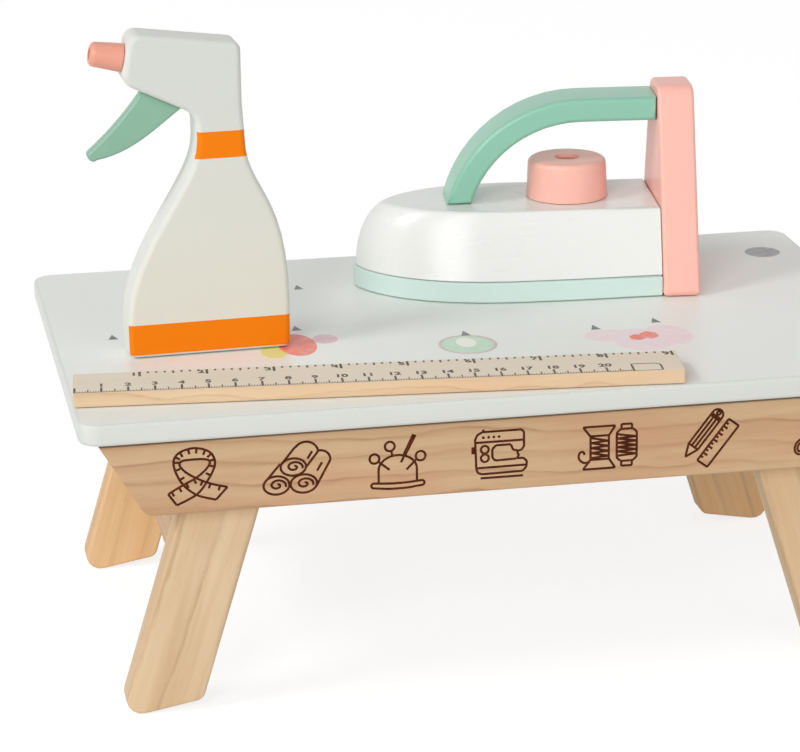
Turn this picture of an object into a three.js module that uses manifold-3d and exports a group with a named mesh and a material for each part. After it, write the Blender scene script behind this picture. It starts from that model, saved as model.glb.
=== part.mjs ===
// Toy ironing board on two folding leg frames, with its play iron, spray bottle and ruler.
// Millimetres, +Z up, +X to the right, -Y towards the front.
// The origin lies on the floor under the middle of the board.

import * as THREE from 'three';
import { mergeVertices } from 'three/addons/utils/BufferGeometryUtils.js';
import Module from 'manifold-3d';

const wasm = await Module();
wasm.setup();

// Driving dimensions of the table

const seatGap = 0.3; // air between pieces that touch or turn on each other
const cutOverrun = 1; // how far a cutting tool runs past the face it starts at
const tableHeight = 121.5; // floor to the board's upper face

const board = { length: 330, depth: 210, thickness: 8.7, cornerRadius: 8, edgeRadius: 1.6 };

const apron = {
  height: 29.3,
  thickness: 9.3,
  endInset: 6.7, // board's end to the apron's upper corner
  frontInset: 3.8, // board's front edge to the front apron's face
  rearInset: 14.8, // board's rear edge to the rear apron's face
  endSlant: 17.3, // upper corner to lower corner, along the apron
  cornerRadius: 5,
  edgeRadius: 1.1,
};

const rail = { height: 20, thickness: 9.3, endInset: 27, edgeRadius: 0.6 };

const leg = {
  width: 29,
  thickness: 13,
  splay: THREE.MathUtils.degToRad(17.2), // from vertical, standing
  footCut: THREE.MathUtils.degToRad(27), // foot's cut against a square end
  pivotInset: 58.2, // board's end to the pivot
  outerFootRadius: 6,
  innerFootRadius: 4,
  stopCornerRadius: 2.2,
  edgeRadius: 1.4,
};

const stretcher = {
  height: 28,
  thickness: 9.3,
  drop: 14.5, // pivot to the stretcher's upper edge
  outerInset: 1.5, // leg's outer edge to the stretcher's outer face
  edgeRadius: 0.9,
};

const pivotScrew = {
  shankRadius: 2.5,
  headRadius: 5.5,
  headHeight: 3,
  apronBite: 7,
  slotWidth: 1.2,
  slotDepth: 1,
};

const boardDowel = { radius: 3, boardBite: 5, apronBite: 12, spacing: 118 };
const railDowel = { radius: 2.5, apronBite: 6, railBite: 12 };
const stretcherDowel = { radius: 2.5, legBite: 8, stretcherBite: 11, spacing: 15 };

// Driving dimensions of the iron: u runs from nose to heel, v across, w up from the board

const iron = {
  endInset: 74.9, // board's right end to the heel
  rearInset: 60, // board's rear edge to the iron's axis at the heel
  turn: THREE.MathUtils.degToRad(-6.5),
};

const sole = {
  length: 125.3,
  heelHalfWidth: 33.3,
  bellyHalfWidth: 36.5,
  bellyFromHeel: 62,
  thickness: 8.6,
  edgeRadius: 0.8,
  sideBowShare: 0.45, // fullness of the side between heel and belly
  noseFullShare: 0.75, // fullness of the nose next to the belly
  noseBluntShare: 0.2, // fullness of the nose at its tip
};

const ironBody = {
  height: 26.7,
  soleInset: 1, // sole's edge to the body's lower edge
  heelLean: 7.6, // how far a side leans in from bottom to top at the heel
  bellyLean: 10.6, // and at its widest place
  noseRetreat: 15, // how far the nose would roll back at its full curve
  noseCurveShare: 0.985, // share of the quarter circle that the nose uses
  topEdgeRadius: 1,
};

const heelBlock = {
  thickness: 15.2,
  height: 83,
  footHalfWidth: 36.4,
  topHalfWidth: 11,
  topRadius: 6,
  footRadius: 2.4,
  edgeRadius: 1.6,
};

const handle = {
  top: 78.7, // sole's underside to the handle's upper face
  thickness: 9.8,
  width: 24,
  outerRadius: 57.5,
  straightLength: 31.2, // sole's heel to the end of the straight grip
  edgeRadius: 1.8,
};

const knob = {
  fromHeel: 35.7, // sole's heel to the knob's axis
  baseRadius: 16.9,
  topRadius: 16.3,
  height: 16.1,
  edgeRadius: 2.4,
  counterboreRadius: 5.1,
  counterboreDepth: 8,
};
const knobScrew = { shankRadius: 1.9, headRadius: 3.8, headHeight: 2.6, bodyBite: 12 };
const knobPlug = { radius: 4.8, thickness: 3.4, edgeRadius: 0.4 };

const soleDowel = { radius: 2.5, soleBite: 5, bodyBite: 10, fromHeel: 20, spacing: 62 };
const heelDowel = { radius: 3, bodyBite: 12, blockBite: 9, spacing: 26, height: 21 };
const footDowel = { radius: 2, handleBite: 7, bodyBite: 10 };
const gripDowel = { radius: 2.3, handleBite: 9, blockBite: 9 };

// Driving dimensions of the spray bottle: s runs along its face, z up from its base

const bottle = {
  endInset: 58.9, // board's left end to the middle of the base
  frontInset: 79, // board's front edge to the bottle's front face
  turn: THREE.MathUtils.degToRad(2.4),
  thickness: 18,
  edgeRadius: 2.2,
};

const flask = {
  baseHalfWidth: 31.9,
  bellyHalfWidth: 32,
  leftBellyHeight: 13,
  rightBellyHeight: 19,
  cornerRadius: 2.4,
  shoulderHeight: 85,
  neckLeft: -2.8, // neck's left side
  neckRight: 16, // neck's right side
  leftBellyRise: 30.2, // how far the left belly curve holds its width
  leftNeckDrop: 18.5, // how far below the shoulder the left curve is upright
  rightBellyRise: 45,
  rightNeckDrop: 21,
  neckRise: 10.2, // shoulder to the head's underside
};

const head = {
  height: 32.8, // underside's meeting with the neck up to the upper front corner
  faceHeight: 19.1, // upper front corner down to the lower one
  backDrop: 5.8, // upper front corner down to the rear one
  backRise: 3.8, // underside's meeting with the neck up to where the back runs out into the neck
  back: 15.2, // rear face
  topFront: -27.3, // upper front corner
  lowFront: -30.9, // lower front corner
  frontRadius: 4.5,
  lowRadius: 5.5,
  backRadius: 3.2,
  throatRadius: 7.4,
};

const nozzle = {
  length: 12.9,
  baseRadius: 5.6,
  tipRadius: 4.8,
  roundRadius: 2,
  holeRadius: 2.3,
  holeDepth: 4.5,
  spigotRadius: 3,
  spigotLength: 7,
  dropShare: 0.45, // place along the head's front edge
};

const trigger = {
  thickness: 6,
  edgeRadius: 1.1,
  frontSetback: 9.4, // head's lower front corner to the trigger, along the underside
  seatLength: 17,
  reach: 21.4, // how far the tip stands in front of the trigger's front corner
  tipDrop: 22.8, // front corner down to the tip
  tipWidth: 4.4,
  tipRound: 2.4, // how far the tip's curve handles stand past its two corners
  frontBow: 1.3, // how far the front edge's curve handles stand inwards
  tipBow: 5, // and the rear edge's outwards, near the tip
  seatBow: 1.6, // and near the head
};
const triggerDowel = { radius: 1.3, headBite: 7, triggerBite: 6, firstShare: 0.3, secondShare: 0.62 };

// Driving dimensions of the ruler

const ruler = {
  length: 230,
  width: 24.5,
  thickness: 5.6,
  endInset: 0.2, // board's left end to the ruler's front left corner
  frontInset: 21.9, // board's front edge to the same corner
  turn: THREE.MathUtils.degToRad(-5.4),
  cornerRadius: 0.8,
  edgeRadius: 0.4,
};

// How finely round stretches are divided
const arcSteps = 5;
const curveSteps = 12;
const roundSteps = 32;
const smallRoundSteps = 16;
const bevelSteps = 2;
const sideSteps = 3;
const noseSteps = 10;
const bodySlices = 7;

// Places worked out from the driving dimensions
const undersideZ = tableHeight - board.thickness;
const frameY = (apron.rearInset - apron.frontInset) / -2; // middle of the frame under the board
const apronFaceY = (board.depth - apron.frontInset - apron.rearInset) / 2; // measured from there
const apronInnerY = apronFaceY - apron.thickness;
const pivotX = board.length / 2 - leg.pivotInset;
const pivotZ = undersideZ - seatGap - leg.width / 2;
const legFaceY = apronInnerY - seatGap;
const legInnerY = legFaceY - leg.thickness;
const bodyTop = sole.thickness + seatGap + ironBody.height;
const playZ = tableHeight + seatGap;

const finishes = {
  whitePaint: new THREE.MeshStandardMaterial({ color: 0xdadbd6, roughness: 0.35 }),
  pine: new THREE.MeshStandardMaterial({ color: 0xd8b28a, roughness: 0.6 }),
  beech: new THREE.MeshStandardMaterial({ color: 0xcaa47c, roughness: 0.65 }),
  steel: new THREE.MeshStandardMaterial({ color: 0xb4b6b8, roughness: 0.35, metalness: 1 }),
  mintPaint: new THREE.MeshStandardMaterial({ color: 0xd0e7e0, roughness: 0.4 }),
  ivoryPaint: new THREE.MeshStandardMaterial({ color: 0xeeeeea, roughness: 0.35 }),
  pinkPaint: new THREE.MeshStandardMaterial({ color: 0xffbcac, roughness: 0.4 }),
  rosePaint: new THREE.MeshStandardMaterial({ color: 0xe0908a, roughness: 0.45 }),
  greenPaint: new THREE.MeshStandardMaterial({ color: 0x92cab2, roughness: 0.35 }),
  bottlePaint: new THREE.MeshStandardMaterial({ color: 0xdedbcf, roughness: 0.35 }),
  rulerWood: new THREE.MeshStandardMaterial({ color: 0xd6ba94, roughness: 0.6 }),
};

// Outlines

// Points on the shorter arc between two points about a centre
function arcPoints(start, end, centre, steps) {
  const from = start.clone().sub(centre);
  const to = end.clone().sub(centre);
  const turn = Math.atan2(from.cross(to), from.dot(to));
  const points = [];
  for (let k = 0; k <= steps; k += 1) {
    points.push(start.clone().rotateAround(centre, (turn * k) / steps));
  }
  return points;
}

// Samples the corners of a closed outline. A corner with r is rounded between its two straight
// sides. From the corner before it, one with c1 and c2 is reached by a cubic curve, and one with
// about by an arc round that point.
function outline(corners) {
  const points = [];
  const count = corners.length;
  const at = (i) => new THREE.Vector2(corners[(i + count) % count].x, corners[(i + count) % count].y);
  corners.forEach((corner, i) => {
    const here = at(i);
    if (corner.c1) {
      const curve = new THREE.CubicBezierCurve(at(i - 1), corner.c1, corner.c2, here);
      points.push(...curve.getPoints(curveSteps).slice(1, -1));
    }
    if (corner.about) {
      points.push(...arcPoints(at(i - 1), here, corner.about, 2 * arcSteps).slice(1, -1));
    }
    if (!corner.r) {
      points.push(here);
      return;
    }
    const before = at(i - 1).sub(here).normalize();
    const after = at(i + 1).sub(here).normalize();
    const half = Math.acos(THREE.MathUtils.clamp(before.dot(after), -1, 1)) / 2;
    const inward = before.clone().add(after).normalize();
    const centre = here.clone().addScaledVector(inward, corner.r / Math.sin(half));
    const reach = corner.r / Math.tan(half);
    const start = here.clone().addScaledVector(before, reach);
    const end = here.clone().addScaledVector(after, reach);
    points.push(...arcPoints(start, end, centre, arcSteps));
  });
  return points;
}

// A plate of an outline, centred on its mid-plane, with its long edges rounded
function plate(points, thickness, edgeRadius) {
  const geometry = new THREE.ExtrudeGeometry(new THREE.Shape(points), {
    depth: thickness - 2 * edgeRadius,
    bevelEnabled: edgeRadius > 0,
    bevelThickness: edgeRadius,
    bevelSize: edgeRadius,
    bevelOffset: -edgeRadius,
    bevelSegments: bevelSteps,
    curveSegments: 1,
  });
  geometry.translate(0, 0, edgeRadius - thickness / 2);
  return geometry;
}

// The same plate standing upright: the outline's y becomes height, its thickness lies along Y
function uprightPlate(points, thickness, edgeRadius) {
  return plate(points, thickness, edgeRadius).rotateX(Math.PI / 2);
}

function rectangle(length, width, r) {
  return outline([
    { x: -length / 2, y: -width / 2, r },
    { x: length / 2, y: -width / 2, r },
    { x: length / 2, y: width / 2, r },
    { x: -length / 2, y: width / 2, r },
  ]);
}

// Cylinder from one point to another
function rod(from, to, radius, steps = smallRoundSteps) {
  const along = to.clone().sub(from);
  const geometry = new THREE.CylinderGeometry(radius, radius, along.length(), steps);
  const up = new THREE.Vector3(0, 1, 0);
  geometry.applyQuaternion(new THREE.Quaternion().setFromUnitVectors(up, along.normalize()));
  const middle = from.clone().lerp(to, 1 / 2);
  return geometry.translate(middle.x, middle.y, middle.z);
}

const upward = new THREE.Vector3(0, 0, 1);

// Solid joins and cuts

function toSolid(geometry) {
  const bare = geometry.clone();
  bare.deleteAttribute('normal');
  bare.deleteAttribute('uv');
  const merged = mergeVertices(bare);
  const mesh = new wasm.Mesh({
    numProp: 3,
    vertProperties: new Float32Array(merged.attributes.position.array),
    triVerts: new Uint32Array(merged.index.array),
  });
  return new wasm.Manifold(mesh);
}

function fromSolid(solid) {
  const mesh = solid.getMesh();
  const geometry = new THREE.BufferGeometry();
  geometry.setAttribute('position', new THREE.BufferAttribute(mesh.vertProperties, 3));
  geometry.setIndex(new THREE.BufferAttribute(mesh.triVerts, 1));
  geometry.computeVertexNormals();
  return geometry;
}

function cut(geometry, ...tools) {
  return fromSolid(tools.reduce((solid, tool) => solid.subtract(toSolid(tool)), toSolid(geometry)));
}

function join(geometry, ...others) {
  return fromSolid(others.reduce((solid, other) => solid.add(toSolid(other)), toSolid(geometry)));
}

function named(name, geometry, material) {
  const mesh = new THREE.Mesh(geometry, material);
  mesh.name = name;
  return mesh;
}

// A round peg with its ends this far either side of a joint face, and the hole it goes in
function peg(face, direction, back, ahead, radius) {
  const from = face.clone().addScaledVector(direction, -back);
  const to = face.clone().addScaledVector(direction, ahead);
  return rod(from, to, radius);
}

function pegHole(face, direction, back, ahead, radius) {
  return peg(face, direction, back + seatGap, ahead + seatGap, radius + seatGap);
}

// Table top and its frame

function boardDowelPlaces(side) {
  const middle = side * (apronFaceY - apron.thickness / 2);
  return [-1, 0, 1].map((k) => new THREE.Vector3(k * boardDowel.spacing, middle, undersideZ));
}

function makeBoard() {
  const corners = rectangle(board.length, board.depth, board.cornerRadius);
  const slab = plate(corners, board.thickness, board.edgeRadius);
  slab.translate(0, -frameY, tableHeight - board.thickness / 2);
  const holes = [-1, 1].flatMap(boardDowelPlaces).map((place) =>
    pegHole(place, upward, cutOverrun, boardDowel.boardBite, boardDowel.radius));
  return named('board_top', cut(slab, ...holes), finishes.whitePaint);
}

const railX = board.length / 2 - rail.endInset - rail.thickness / 2;
const railZ = undersideZ - seatGap - rail.height / 2;

function makeApron(name, side) {
  const topX = board.length / 2 - apron.endInset;
  const lowX = topX - apron.endSlant;
  const topZ = undersideZ - seatGap;
  const lowZ = topZ - apron.height;
  const corners = outline([
    { x: -lowX, y: lowZ, r: apron.cornerRadius },
    { x: lowX, y: lowZ, r: apron.cornerRadius },
    { x: topX, y: topZ },
    { x: -topX, y: topZ },
  ]);
  const slab = uprightPlate(corners, apron.thickness, apron.edgeRadius);
  slab.translate(0, side * (apronFaceY - apron.thickness / 2), 0);
  const outward = new THREE.Vector3(0, side, 0);
  const inner = side * apronInnerY;
  const tools = boardDowelPlaces(side).map((place) =>
    pegHole(place, upward, boardDowel.apronBite, cutOverrun, boardDowel.radius));
  for (const end of [-1, 1]) {
    const pivot = new THREE.Vector3(end * pivotX, inner, pivotZ);
    tools.push(pegHole(pivot, outward, cutOverrun, pivotScrew.apronBite, pivotScrew.shankRadius));
    const railEnd = new THREE.Vector3(end * railX, inner, railZ);
    tools.push(pegHole(railEnd, outward, cutOverrun, railDowel.apronBite, railDowel.radius));
  }
  return named(name, cut(slab, ...tools), finishes.pine);
}

function makeRail(name, end) {
  const length = 2 * (apronInnerY - seatGap);
  const bar = uprightPlate(rectangle(rail.thickness, rail.height, rail.edgeRadius), length, 0);
  bar.translate(end * railX, 0, railZ);
  const tools = [-1, 1].map((side) => pegHole(
    new THREE.Vector3(end * railX, side * apronInnerY, railZ), new THREE.Vector3(0, side, 0),
    railDowel.railBite, cutOverrun, railDowel.radius));
  return named(name, cut(bar, ...tools), finishes.pine);
}

function makePivotScrew(name, end, side) {
  const inward = new THREE.Vector3(0, -side, 0);
  const under = new THREE.Vector3(end * pivotX, side * (legInnerY - seatGap), pivotZ);
  const headMiddle = under.clone().addScaledVector(inward, pivotScrew.headHeight / 2);
  const headTop = under.clone().addScaledVector(inward, pivotScrew.headHeight);
  const tip = new THREE.Vector3(end * pivotX, side * (apronInnerY + pivotScrew.apronBite), pivotZ);
  const shank = rod(tip, headMiddle, pivotScrew.shankRadius);
  const screwHead = rod(under, headTop, pivotScrew.headRadius);
  const slotLength = 3 * pivotScrew.headRadius;
  const slot = new THREE.BoxGeometry(slotLength, 2 * pivotScrew.slotDepth, pivotScrew.slotWidth);
  slot.translate(headTop.x, headTop.y, headTop.z);
  return named(name, cut(join(shank, screwHead), slot), finishes.steel);
}

function makeTable() {
  const table = new THREE.Group();
  table.add(makeBoard(), makeApron('front_apron', -1), makeApron('rear_apron', 1));
  table.add(makeRail('left_end_rail', -1), makeRail('right_end_rail', 1));
  for (const [sideName, side] of [['front', -1], ['rear', 1]]) {
    const outward = new THREE.Vector3(0, side, 0);
    boardDowelPlaces(side).forEach((place, i) => {
      const pin = peg(place, upward, boardDowel.apronBite, boardDowel.boardBite, boardDowel.radius);
      table.add(named(`${sideName}_board_dowel_${i + 1}`, pin, finishes.beech));
    });
    for (const [endName, end] of [['left', -1], ['right', 1]]) {
      const face = new THREE.Vector3(end * railX, side * apronInnerY, railZ);
      const pin = peg(face, outward, railDowel.railBite, railDowel.apronBite, railDowel.radius);
      table.add(named(`${sideName}_${endName}_rail_dowel`, pin, finishes.beech));
      table.add(makePivotScrew(`${sideName}_${endName}_pivot_screw`, end, side));
    }
  }
  return table;
}

// Leg frames: drawn hanging straight down from the pivot, with the outer edge towards -X

function legOutline() {
  const half = leg.width / 2;
  const cutSlope = Math.tan(leg.footCut);
  const reachBelow = leg.outerFootRadius * (cutSlope + 1 / Math.cos(leg.footCut));
  const standing = pivotZ + (half - leg.outerFootRadius) * Math.sin(leg.splay) - leg.outerFootRadius;
  const outerLength = standing / Math.cos(leg.splay) + reachBelow;
  const innerLength = outerLength - leg.width * cutSlope;
  const flat = (half * (1 - Math.sin(leg.splay))) / Math.cos(leg.splay);
  const stop = new THREE.Vector2(-half, half * Math.cos(leg.splay) - flat * Math.sin(leg.splay));
  return outline([
    { x: -half, y: -outerLength, r: leg.outerFootRadius },
    { x: half, y: -innerLength, r: leg.innerFootRadius },
    { x: half, y: 0 },
    { x: -half * Math.sin(leg.splay), y: half * Math.cos(leg.splay), about: new THREE.Vector2() },
    { x: stop.x, y: stop.y, r: leg.stopCornerRadius },
  ]);
}

const stretcherX = -leg.width / 2 + stretcher.outerInset + stretcher.thickness / 2;
const stretcherZ = -stretcher.drop - stretcher.height / 2;

function stretcherDowelPlaces(side) {
  return [-1, 1].map((k) =>
    new THREE.Vector3(stretcherX, side * legInnerY, stretcherZ + (k * stretcherDowel.spacing) / 2));
}

function makeLeg(name, side) {
  const slab = uprightPlate(legOutline(), leg.thickness, leg.edgeRadius);
  slab.translate(0, side * (legInnerY + leg.thickness / 2), 0);
  const outward = new THREE.Vector3(0, side, 0);
  const pivot = new THREE.Vector3(0, side * legInnerY, 0);
  const bore = pegHole(pivot, outward, cutOverrun, leg.thickness + cutOverrun, pivotScrew.shankRadius);
  const holes = stretcherDowelPlaces(side).map((place) =>
    pegHole(place, outward, cutOverrun, stretcherDowel.legBite, stretcherDowel.radius));
  return named(name, cut(slab, bore, ...holes), finishes.pine);
}

function makeStretcher(name) {
  const length = 2 * (legInnerY - seatGap);
  const section = rectangle(stretcher.thickness, stretcher.height, stretcher.edgeRadius);
  const bar = uprightPlate(section, length, 0).translate(stretcherX, 0, stretcherZ);
  const { radius, stretcherBite } = stretcherDowel;
  const holes = [-1, 1].flatMap((side) => stretcherDowelPlaces(side).map((place) =>
    pegHole(place, new THREE.Vector3(0, side, 0), stretcherBite, cutOverrun, radius)));
  return named(name, cut(bar, ...holes), finishes.pine);
}

function makeLegFrame(end, frontSide) {
  const { radius, legBite, stretcherBite } = stretcherDowel;
  const frame = new THREE.Group();
  frame.add(makeStretcher(`${end}_stretcher`));
  for (const [sideName, side] of [['front', frontSide], ['rear', -frontSide]]) {
    frame.add(makeLeg(`${sideName}_${end}_leg`, side));
    stretcherDowelPlaces(side).forEach((place, i) => {
      const pin = peg(place, new THREE.Vector3(0, side, 0), stretcherBite, legBite, radius);
      frame.add(named(`${sideName}_${end}_stretcher_dowel_${i + 1}`, pin, finishes.beech));
    });
  }
  frame.position.set(-pivotX, 0, pivotZ);
  frame.rotation.y = leg.splay;
  return frame;
}

// Iron

// Plan view of the iron, heel at x 0 and nose at -length: gently bowed sides, then a pointed arch
function ironPlan(length, heelHalf, bellyHalf, bellyFromHeel) {
  const heel = new THREE.Vector2(0, heelHalf);
  const belly = new THREE.Vector2(-bellyFromHeel, bellyHalf);
  const tip = new THREE.Vector2(-length, 0);
  const bow = new THREE.Vector2(bellyFromHeel * sole.sideBowShare, 0);
  const full = new THREE.Vector2((length - bellyFromHeel) * sole.noseFullShare, 0);
  const blunt = new THREE.Vector2(0, bellyHalf * sole.noseBluntShare);
  const run = heel.clone().lerp(belly, 1 / 3);
  const side = new THREE.CubicBezierCurve(heel, run, belly.clone().add(bow), belly).getPoints(sideSteps);
  const nose = new THREE.CubicBezierCurve(belly, belly.clone().sub(full), tip.clone().add(blunt), tip)
    .getPoints(noseSteps);
  const half = [...side, ...nose.slice(1)];
  return [...half, ...half.slice(0, -1).reverse().map((p) => new THREE.Vector2(p.x, -p.y))];
}

// Skin over rings of equally many points, closed by a fan at each end
function loft(rings) {
  const count = rings[0].length;
  const positions = rings.flat().flatMap((p) => [p.x, p.y, p.z]);
  const index = [];
  for (let r = 0; r + 1 < rings.length; r += 1) {
    for (let i = 0; i < count; i += 1) {
      const j = (i + 1) % count;
      const [a, b, c, d] = [r * count + i, r * count + j, (r + 1) * count + j, (r + 1) * count + i];
      index.push(a, b, c, a, c, d);
    }
  }
  const last = (rings.length - 1) * count;
  for (let i = 1; i + 1 < count; i += 1) {
    index.push(0, i + 1, i, last, last + i, last + i + 1);
  }
  const geometry = new THREE.BufferGeometry();
  geometry.setAttribute('position', new THREE.Float32BufferAttribute(positions, 3));
  geometry.setIndex(index);
  geometry.computeVertexNormals();
  return geometry;
}

function soleDowelPlaces() {
  return [0, 1].map((k) =>
    new THREE.Vector3(-soleDowel.fromHeel - k * soleDowel.spacing, 0, sole.thickness));
}

function heelDowelPlaces() {
  return [-1, 1].map((k) => new THREE.Vector3(0, (k * heelDowel.spacing) / 2, heelDowel.height));
}

const handleCentre = new THREE.Vector2(-handle.straightLength, handle.top - handle.outerRadius);
const handleInnerRadius = handle.outerRadius - handle.thickness;
const footRise = bodyTop + footDowel.handleBite / 2 - handleCentre.y;
const footReach = (radius) => Math.sqrt(radius ** 2 - footRise ** 2);
const footMiddle = (footReach(handle.outerRadius) + footReach(handleInnerRadius)) / 2;
const footPlace = new THREE.Vector3(handleCentre.x - footMiddle, 0, bodyTop);
const gripPlace = new THREE.Vector3(0, 0, handle.top - handle.thickness / 2);
const knobPlace = new THREE.Vector3(-knob.fromHeel, 0, bodyTop + seatGap);

const heelward = new THREE.Vector3(1, 0, 0);

function makeSole() {
  const points = ironPlan(sole.length, sole.heelHalfWidth, sole.bellyHalfWidth, sole.bellyFromHeel);
  const slab = plate(points, sole.thickness, sole.edgeRadius).translate(0, 0, sole.thickness / 2);
  const holes = soleDowelPlaces().map((place) =>
    pegHole(place, upward, soleDowel.soleBite, cutOverrun, soleDowel.radius));
  return named('iron_sole', cut(slab, ...holes), finishes.mintPaint);
}

function makeIronBody() {
  const baseZ = sole.thickness + seatGap;
  const ringAt = (height, inset) => {
    const share = height / ironBody.height;
    const retreat = ironBody.noseRetreat * (1 - Math.sqrt(1 - (ironBody.noseCurveShare * share) ** 2));
    const plan = ironPlan(
      sole.length - ironBody.soleInset - retreat - 2 * inset,
      sole.heelHalfWidth - ironBody.soleInset - ironBody.heelLean * share - inset,
      sole.bellyHalfWidth - ironBody.soleInset - ironBody.bellyLean * share - inset,
      sole.bellyFromHeel,
    );
    return plan.map((p) => new THREE.Vector3(p.x - inset, p.y, baseZ + height));
  };
  const rings = [];
  for (let k = 0; k < bodySlices; k += 1) {
    rings.push(ringAt(((ironBody.height - ironBody.topEdgeRadius) * k) / bodySlices, 0));
  }
  for (let k = 0; k <= bevelSteps; k += 1) {
    const angle = (Math.PI * k) / (2 * bevelSteps);
    const rise = ironBody.topEdgeRadius * (1 - Math.sin(angle));
    rings.push(ringAt(ironBody.height - rise, ironBody.topEdgeRadius * (1 - Math.cos(angle))));
  }
  const tools = soleDowelPlaces().map((place) =>
    pegHole(place, upward, cutOverrun, soleDowel.bodyBite, soleDowel.radius));
  tools.push(...heelDowelPlaces().map((place) =>
    pegHole(place, heelward, heelDowel.bodyBite, cutOverrun, heelDowel.radius)));
  tools.push(pegHole(footPlace, upward, footDowel.bodyBite, cutOverrun, footDowel.radius));
  tools.push(pegHole(knobPlace, upward, knobScrew.bodyBite, cutOverrun, knobScrew.shankRadius));
  return named('iron_body', cut(loft(rings), ...tools), finishes.ivoryPaint);
}

function makeHeelBlock() {
  const slab = plate(outline([
    { x: -heelBlock.footHalfWidth, y: 0, r: heelBlock.footRadius },
    { x: heelBlock.footHalfWidth, y: 0, r: heelBlock.footRadius },
    { x: heelBlock.topHalfWidth, y: heelBlock.height, r: heelBlock.topRadius },
    { x: -heelBlock.topHalfWidth, y: heelBlock.height, r: heelBlock.topRadius },
  ]), heelBlock.thickness, heelBlock.edgeRadius);
  slab.rotateX(Math.PI / 2).rotateZ(Math.PI / 2).translate(seatGap + heelBlock.thickness / 2, 0, 0);
  const holes = heelDowelPlaces().map((place) =>
    pegHole(place, heelward, cutOverrun, heelDowel.blockBite, heelDowel.radius));
  holes.push(pegHole(gripPlace, heelward, cutOverrun, gripDowel.blockBite, gripDowel.radius));
  return named('iron_heel_block', cut(slab, ...holes), finishes.pinkPaint);
}

function makeHandle() {
  const footZ = bodyTop + seatGap;
  const footAngle = (radius) => Math.acos((footZ - handleCentre.y) / radius);
  const arc = (radius, from, to) => {
    const points = [];
    for (let k = 0; k <= curveSteps; k += 1) {
      const angle = THREE.MathUtils.lerp(from, to, k / curveSteps);
      const spoke = new THREE.Vector2(-Math.sin(angle), Math.cos(angle));
      points.push(handleCentre.clone().addScaledVector(spoke, radius));
    }
    return points;
  };
  const profile = [
    ...arc(handle.outerRadius, footAngle(handle.outerRadius), 0),
    new THREE.Vector2(0, handle.top),
    new THREE.Vector2(0, handle.top - handle.thickness),
    ...arc(handleInnerRadius, 0, footAngle(handleInnerRadius)),
  ];
  const bar = uprightPlate(profile, handle.width, handle.edgeRadius);
  const footHole = pegHole(footPlace, upward, cutOverrun, footDowel.handleBite, footDowel.radius);
  const gripHole = pegHole(gripPlace, heelward, gripDowel.handleBite, cutOverrun, gripDowel.radius);
  return named('iron_handle', cut(bar, footHole, gripHole), finishes.greenPaint);
}

// Solid or ring turned on Z from points given as radius and height
function turned(points, steps) {
  const profile = points.map(([r, z]) => new THREE.Vector2(r, z));
  return new THREE.LatheGeometry(profile, steps).rotateX(Math.PI / 2);
}

// Points of a quarter-round edge from an upright wall over to a level face
function roundEdge(radius, height, edge) {
  const points = [];
  for (let k = 0; k <= 2 * bevelSteps; k += 1) {
    const angle = (Math.PI * k) / (4 * bevelSteps);
    points.push([radius - edge * (1 - Math.cos(angle)), height - edge * (1 - Math.sin(angle))]);
  }
  return points;
}

function makeKnob() {
  const boreRadius = knobScrew.shankRadius + seatGap;
  const floor = knob.height - knob.counterboreDepth;
  const ring = turned([
    [boreRadius, 0],
    [knob.baseRadius, 0],
    ...roundEdge(knob.topRadius, knob.height, knob.edgeRadius),
    [knob.counterboreRadius, knob.height],
    [knob.counterboreRadius, floor],
    [boreRadius, floor],
    [boreRadius, 0],
  ], roundSteps);
  ring.translate(knobPlace.x, knobPlace.y, knobPlace.z);
  return named('iron_knob', ring, finishes.pinkPaint);
}

function makeKnobScrew() {
  const seat = knobPlace.z + knob.height - knob.counterboreDepth + seatGap;
  const screw = turned([
    [0, knobPlace.z - knobScrew.bodyBite],
    [knobScrew.shankRadius, knobPlace.z - knobScrew.bodyBite],
    [knobScrew.shankRadius, seat],
    [knobScrew.headRadius, seat],
    [knobScrew.headRadius, seat + knobScrew.headHeight],
    [0, seat + knobScrew.headHeight],
  ], smallRoundSteps);
  return named('iron_knob_screw', screw.translate(knobPlace.x, knobPlace.y, 0), finishes.steel);
}

function makeKnobPlug() {
  const base = knobPlace.z + knob.height - knob.counterboreDepth + knobScrew.headHeight + 2 * seatGap;
  const plug = turned([
    [0, base],
    [knobPlug.radius, base],
    ...roundEdge(knobPlug.radius, base + knobPlug.thickness, knobPlug.edgeRadius),
    [0, base + knobPlug.thickness],
  ], smallRoundSteps);
  return named('iron_knob_plug', plug.translate(knobPlace.x, knobPlace.y, 0), finishes.rosePaint);
}

function makeIron() {
  const toy = new THREE.Group();
  toy.add(makeSole(), makeIronBody(), makeHeelBlock(), makeHandle());
  toy.add(makeKnob(), makeKnobScrew(), makeKnobPlug());
  soleDowelPlaces().forEach((place, i) => {
    const pin = peg(place, upward, soleDowel.soleBite, soleDowel.bodyBite, soleDowel.radius);
    toy.add(named(`iron_sole_dowel_${i + 1}`, pin, finishes.beech));
  });
  heelDowelPlaces().forEach((place, i) => {
    const pin = peg(place, heelward, heelDowel.bodyBite, heelDowel.blockBite, heelDowel.radius);
    toy.add(named(`iron_heel_dowel_${i + 1}`, pin, finishes.beech));
  });
  const footPin = peg(footPlace, upward, footDowel.bodyBite, footDowel.handleBite, footDowel.radius);
  const gripPin = peg(gripPlace, heelward, gripDowel.handleBite, gripDowel.blockBite, gripDowel.radius);
  toy.add(named('iron_handle_foot_dowel', footPin, finishes.beech));
  toy.add(named('iron_handle_heel_dowel', gripPin, finishes.beech));
  toy.position.set(board.length / 2 - iron.endInset, board.depth / 2 - iron.rearInset, playZ);
  toy.rotation.z = iron.turn;
  return toy;
}

// Spray bottle

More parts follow.
